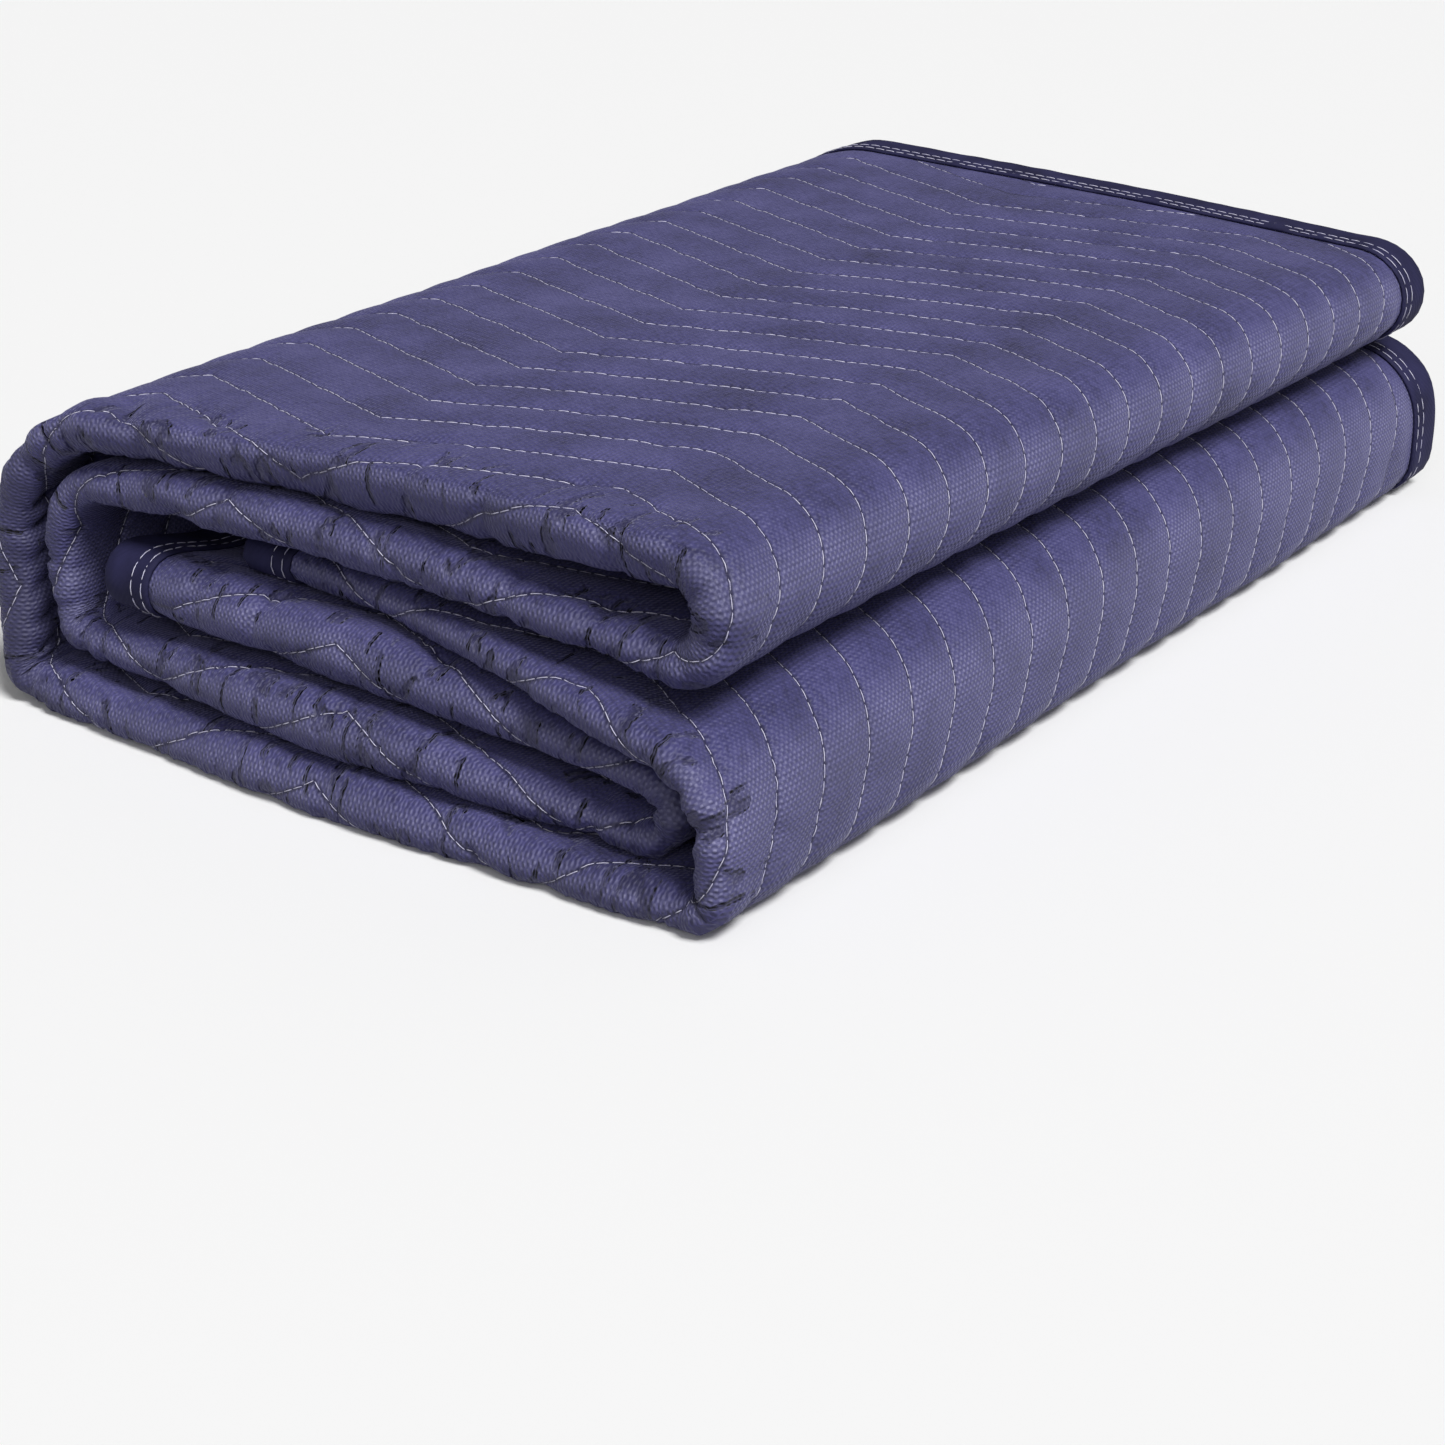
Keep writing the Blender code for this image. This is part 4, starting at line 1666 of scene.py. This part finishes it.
@dataclass(frozen=True)
class BindingCloth:
    """Cotton twill tape, woven tight and pressed, folded over the raw edge.

    Its close weave lies smooth and takes the dye darker than the quilted cloth.
    """

    base: str = "#1f1e3c"
    light: str = "#2f2e54"
    roughness: float = 0.8
    specular: float = 0.25
    sheen_weight: float = 0.12
    sheen_roughness: float = 0.5
    rib_run: float = 2.4 * MM
    rib_depth: float = 0.15 * MM
    patches_per_m: float = 60.0

    def material(self) -> bpy.types.Material:
        """Build the tape's material.

        Returns:
            The material.
        """
        made = new_material("binding_twill_tape")
        tree = made.node_tree
        coords = add_node(tree, "ShaderNodeUVMap", uv_map="sheet")
        # Twill ribs some 0.6 mm apart are drawn 1.7 mm apart, 2.4 mm along the tape, or they would
        # not show. A diagonal wave has ten radians to a unit of its scaled coordinates.
        ribs = add_node(
            tree, "ShaderNodeTexWave",
            {"Vector": coords, "Scale": 2 * math.pi / 10 / self.rib_run, "Distortion": 0.4},
            bands_direction="DIAGONAL",
        )
        patch = add_node(
            tree, "ShaderNodeTexNoise", {"Vector": coords, "Scale": self.patches_per_m, "Detail": 4.0}
        )
        colour = set_ramp(
            add_node(tree, "ShaderNodeValToRGB", (patch,)),
            (Stop(0.35, linear(self.base)), Stop(0.7, linear(self.light))),
        )
        raised = add_node(
            tree, "ShaderNodeBump",
            {"Height": ribs.outputs["Fac"], "Distance": self.rib_depth, "Strength": 0.5},
        )
        shader = add_node(
            tree, "ShaderNodeBsdfPrincipled",
            {
                "Base Color": colour, "Roughness": self.roughness, "Specular IOR Level": self.specular,
                "Sheen Weight": self.sheen_weight, "Sheen Roughness": self.sheen_roughness,
                "Sheen Tint": linear(self.light), "Normal": raised,
            },
        )
        add_node(tree, "ShaderNodeOutputMaterial", (shader,))
        return made


@dataclass(frozen=True)
class SewingThread:
    """Spun polyester thread, twisted from white and lavender fibres; matt, with a faint twist."""

    light: str = "#e4e2f4"
    dark: str = "#b9b6da"
    roughness: float = 0.6
    sheen_weight: float = 0.2
    sheen_roughness: float = 0.5
    twists_per_m: float = 900.0

    def material(self) -> bpy.types.Material:
        """Build the thread's material.

        Returns:
            The material.
        """
        made = new_material("spun_polyester_thread")
        tree = made.node_tree
        coords = add_node(tree, "ShaderNodeUVMap", uv_map="sheet")
        twist = add_node(
            tree, "ShaderNodeTexNoise", {"Vector": coords, "Scale": self.twists_per_m, "Detail": 2.0}
        )
        colour = set_ramp(
            add_node(tree, "ShaderNodeValToRGB", (twist,)),
            (Stop(0.3, linear(self.dark)), Stop(0.65, linear(self.light))),
        )
        shader = add_node(
            tree, "ShaderNodeBsdfPrincipled",
            {
                "Base Color": colour, "Roughness": self.roughness,
                "Sheen Weight": self.sheen_weight, "Sheen Roughness": self.sheen_roughness,
            },
        )
        add_node(tree, "ShaderNodeOutputMaterial", (shader,))
        return made


class Lamp(NamedTuple):
    """A far soft light: where it comes from, how wide it looks in degrees, and its strength."""

    name: str
    place: tuple[float, float, float]
    width: float
    strength: float


@dataclass
class Studio:
    """Pale floor, soft lights and the camera at the photograph's angle."""

    floor_size: float = 14.0
    floor_colour: str = "#fafafa"
    floor_roughness: float = 0.9
    world_colour: str = "#ffffff"
    world_strength: float = 0.12
    camera_place: tuple[float, float, float] = (0.60162, -0.85037, 0.40013)
    azimuth: float = 36.31
    elevation: float = 23.95
    lens: float = 70.23
    sensor: float = 36.0
    near_clip: float = 0.05
    far_clip: float = 50.0
    lamps: tuple[Lamp, ...] = (
        Lamp("right_softbox", (1.0, -0.3, 1.5), 22.0, 2.9),
        Lamp("front_fill", (0.8, -1.2, 0.8), 40.0, 0.66),
    )

    def build(self) -> None:
        """Set up the picture's tone, the floor, the world, the lamps and the camera."""
        bpy.context.scene.view_settings.view_transform = "Standard"
        self.build_floor()
        self.build_world()
        for lamp in self.lamps:
            self.build_lamp(lamp)
        self.build_camera()

    def build_floor(self) -> None:
        """Lay the pale floor, which throws no light back up at the folds."""
        half = self.floor_size / 2
        data = bpy.data.meshes.new("floor")
        corners = [(-half, -half, 0), (half, -half, 0), (half, half, 0), (-half, half, 0)]
        data.from_pydata(corners, [], [(0, 1, 2, 3)])
        floor = bpy.data.objects.new("floor", data)
        bpy.context.scene.collection.objects.link(floor)
        made = bpy.data.materials.new("pale_paper_floor")
        made.use_nodes = True
        shader = made.node_tree.nodes["Principled BSDF"]
        shader.inputs["Base Color"].default_value = linear(self.floor_colour)
        shader.inputs["Roughness"].default_value = self.floor_roughness
        data.materials.append(made)
        floor.visible_diffuse = False

    def build_world(self) -> None:
        """Light the scene evenly from all round."""
        world = bpy.data.worlds.new("studio")
        world.use_nodes = True
        shade = world.node_tree.nodes["Background"]
        shade.inputs["Color"].default_value = linear(self.world_colour)
        shade.inputs["Strength"].default_value = self.world_strength
        bpy.context.scene.world = world

    def build_lamp(self, lamp: Lamp) -> None:
        """Stand one soft light.

        Args:
            lamp: where it stands and how bright it is.
        """
        data = bpy.data.lights.new(lamp.name, "SUN")
        data.angle = math.radians(lamp.width)
        data.energy = lamp.strength
        holder = bpy.data.objects.new(lamp.name, data)
        bpy.context.scene.collection.objects.link(holder)
        turn = Vector(lamp.place).to_track_quat("Z", "Y").to_matrix().to_4x4()
        holder.matrix_world = Matrix.Translation(lamp.place) @ turn

    def build_camera(self) -> None:
        """Stand the camera where the photograph was taken from."""
        a, e = math.radians(self.azimuth), math.radians(self.elevation)
        back = Vector((math.sin(a) * math.cos(e), -math.cos(a) * math.cos(e), math.sin(e)))
        right = Vector((math.cos(a), math.sin(a), 0.0))
        up = back.cross(right)
        data = bpy.data.cameras.new("photo_view")
        data.sensor_width = self.sensor
        data.lens = self.lens
        data.clip_start = self.near_clip
        data.clip_end = self.far_clip
        camera = bpy.data.objects.new("photo_view", data)
        bpy.context.scene.collection.objects.link(camera)
        turn = Matrix((right, up, back)).transposed().to_4x4()
        camera.matrix_world = Matrix.Translation(self.camera_place) @ turn
        bpy.context.scene.camera = camera


def report(piece: bpy.types.Object) -> None:
    """Log a piece's name and triangle count."""
    triangles = sum(len(face.vertices) - 2 for face in piece.data.polygons)
    LOG.info("%s: %d triangles", piece.name, triangles)


def main() -> None:
    """Build the blanket's pieces in order."""
    logging.basicConfig(level=logging.INFO, format="%(message)s")
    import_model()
    sheet = FoldedSheet()
    relief = QuiltRelief(sheet)
    cloth = QuiltCloth().material(sheet)
    tape_cloth = BindingCloth().material()
    thread = SewingThread().material()

    body = QuiltedBody(sheet, relief)
    quilted = body.build(cloth)
    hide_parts("quilted_body")

    stitch = StitchWork(sheet)
    edge_v = sheet.upper_length
    strip = body.front_strip
    top_start, left_stop, low_start, low_stop = body.shown(STITCH_INSET)
    hem = sheet.hem_start
    stretches = {
        "stitches_top": [Stretch(top_start, -strip, left_stop, edge_v)],
        "stitches_right": [Stretch(low_start, -strip, low_stop, edge_v)],
        "stitches_bottom": [Stretch(left_stop, -strip, low_start, edge_v)],
        "stitches_inner_fronts": [
            Stretch(sheet.inner_end + hem, -strip, top_start, strip),
            Stretch(low_stop, -strip, sheet.outer_end - hem, strip),
        ],
    }
    riders = [stitch.quilting(name, body, places, thread) for name, places in stretches.items()]

    tape_stitch = StitchWork(sheet, pitch=5.2 * MM, dash=4.4 * MM, radius=0.2 * MM)
    for edge in Edge:
        tape = EdgeTape(sheet, edge)
        bound = tape.build(tape_cloth)
        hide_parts(edge.value)
        start, stop = tape.span()
        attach(bound, "root")
        sewn = tape_stitch.tape_rows(edge.value + "_stitches", tape, thread)
        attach(sewn, "root")
        report(bound)
        report(sewn)

    for piece in [quilted] + riders:
        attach(piece, "root")
        report(piece)

    Studio().build()


if __name__ == "__main__":
    main()
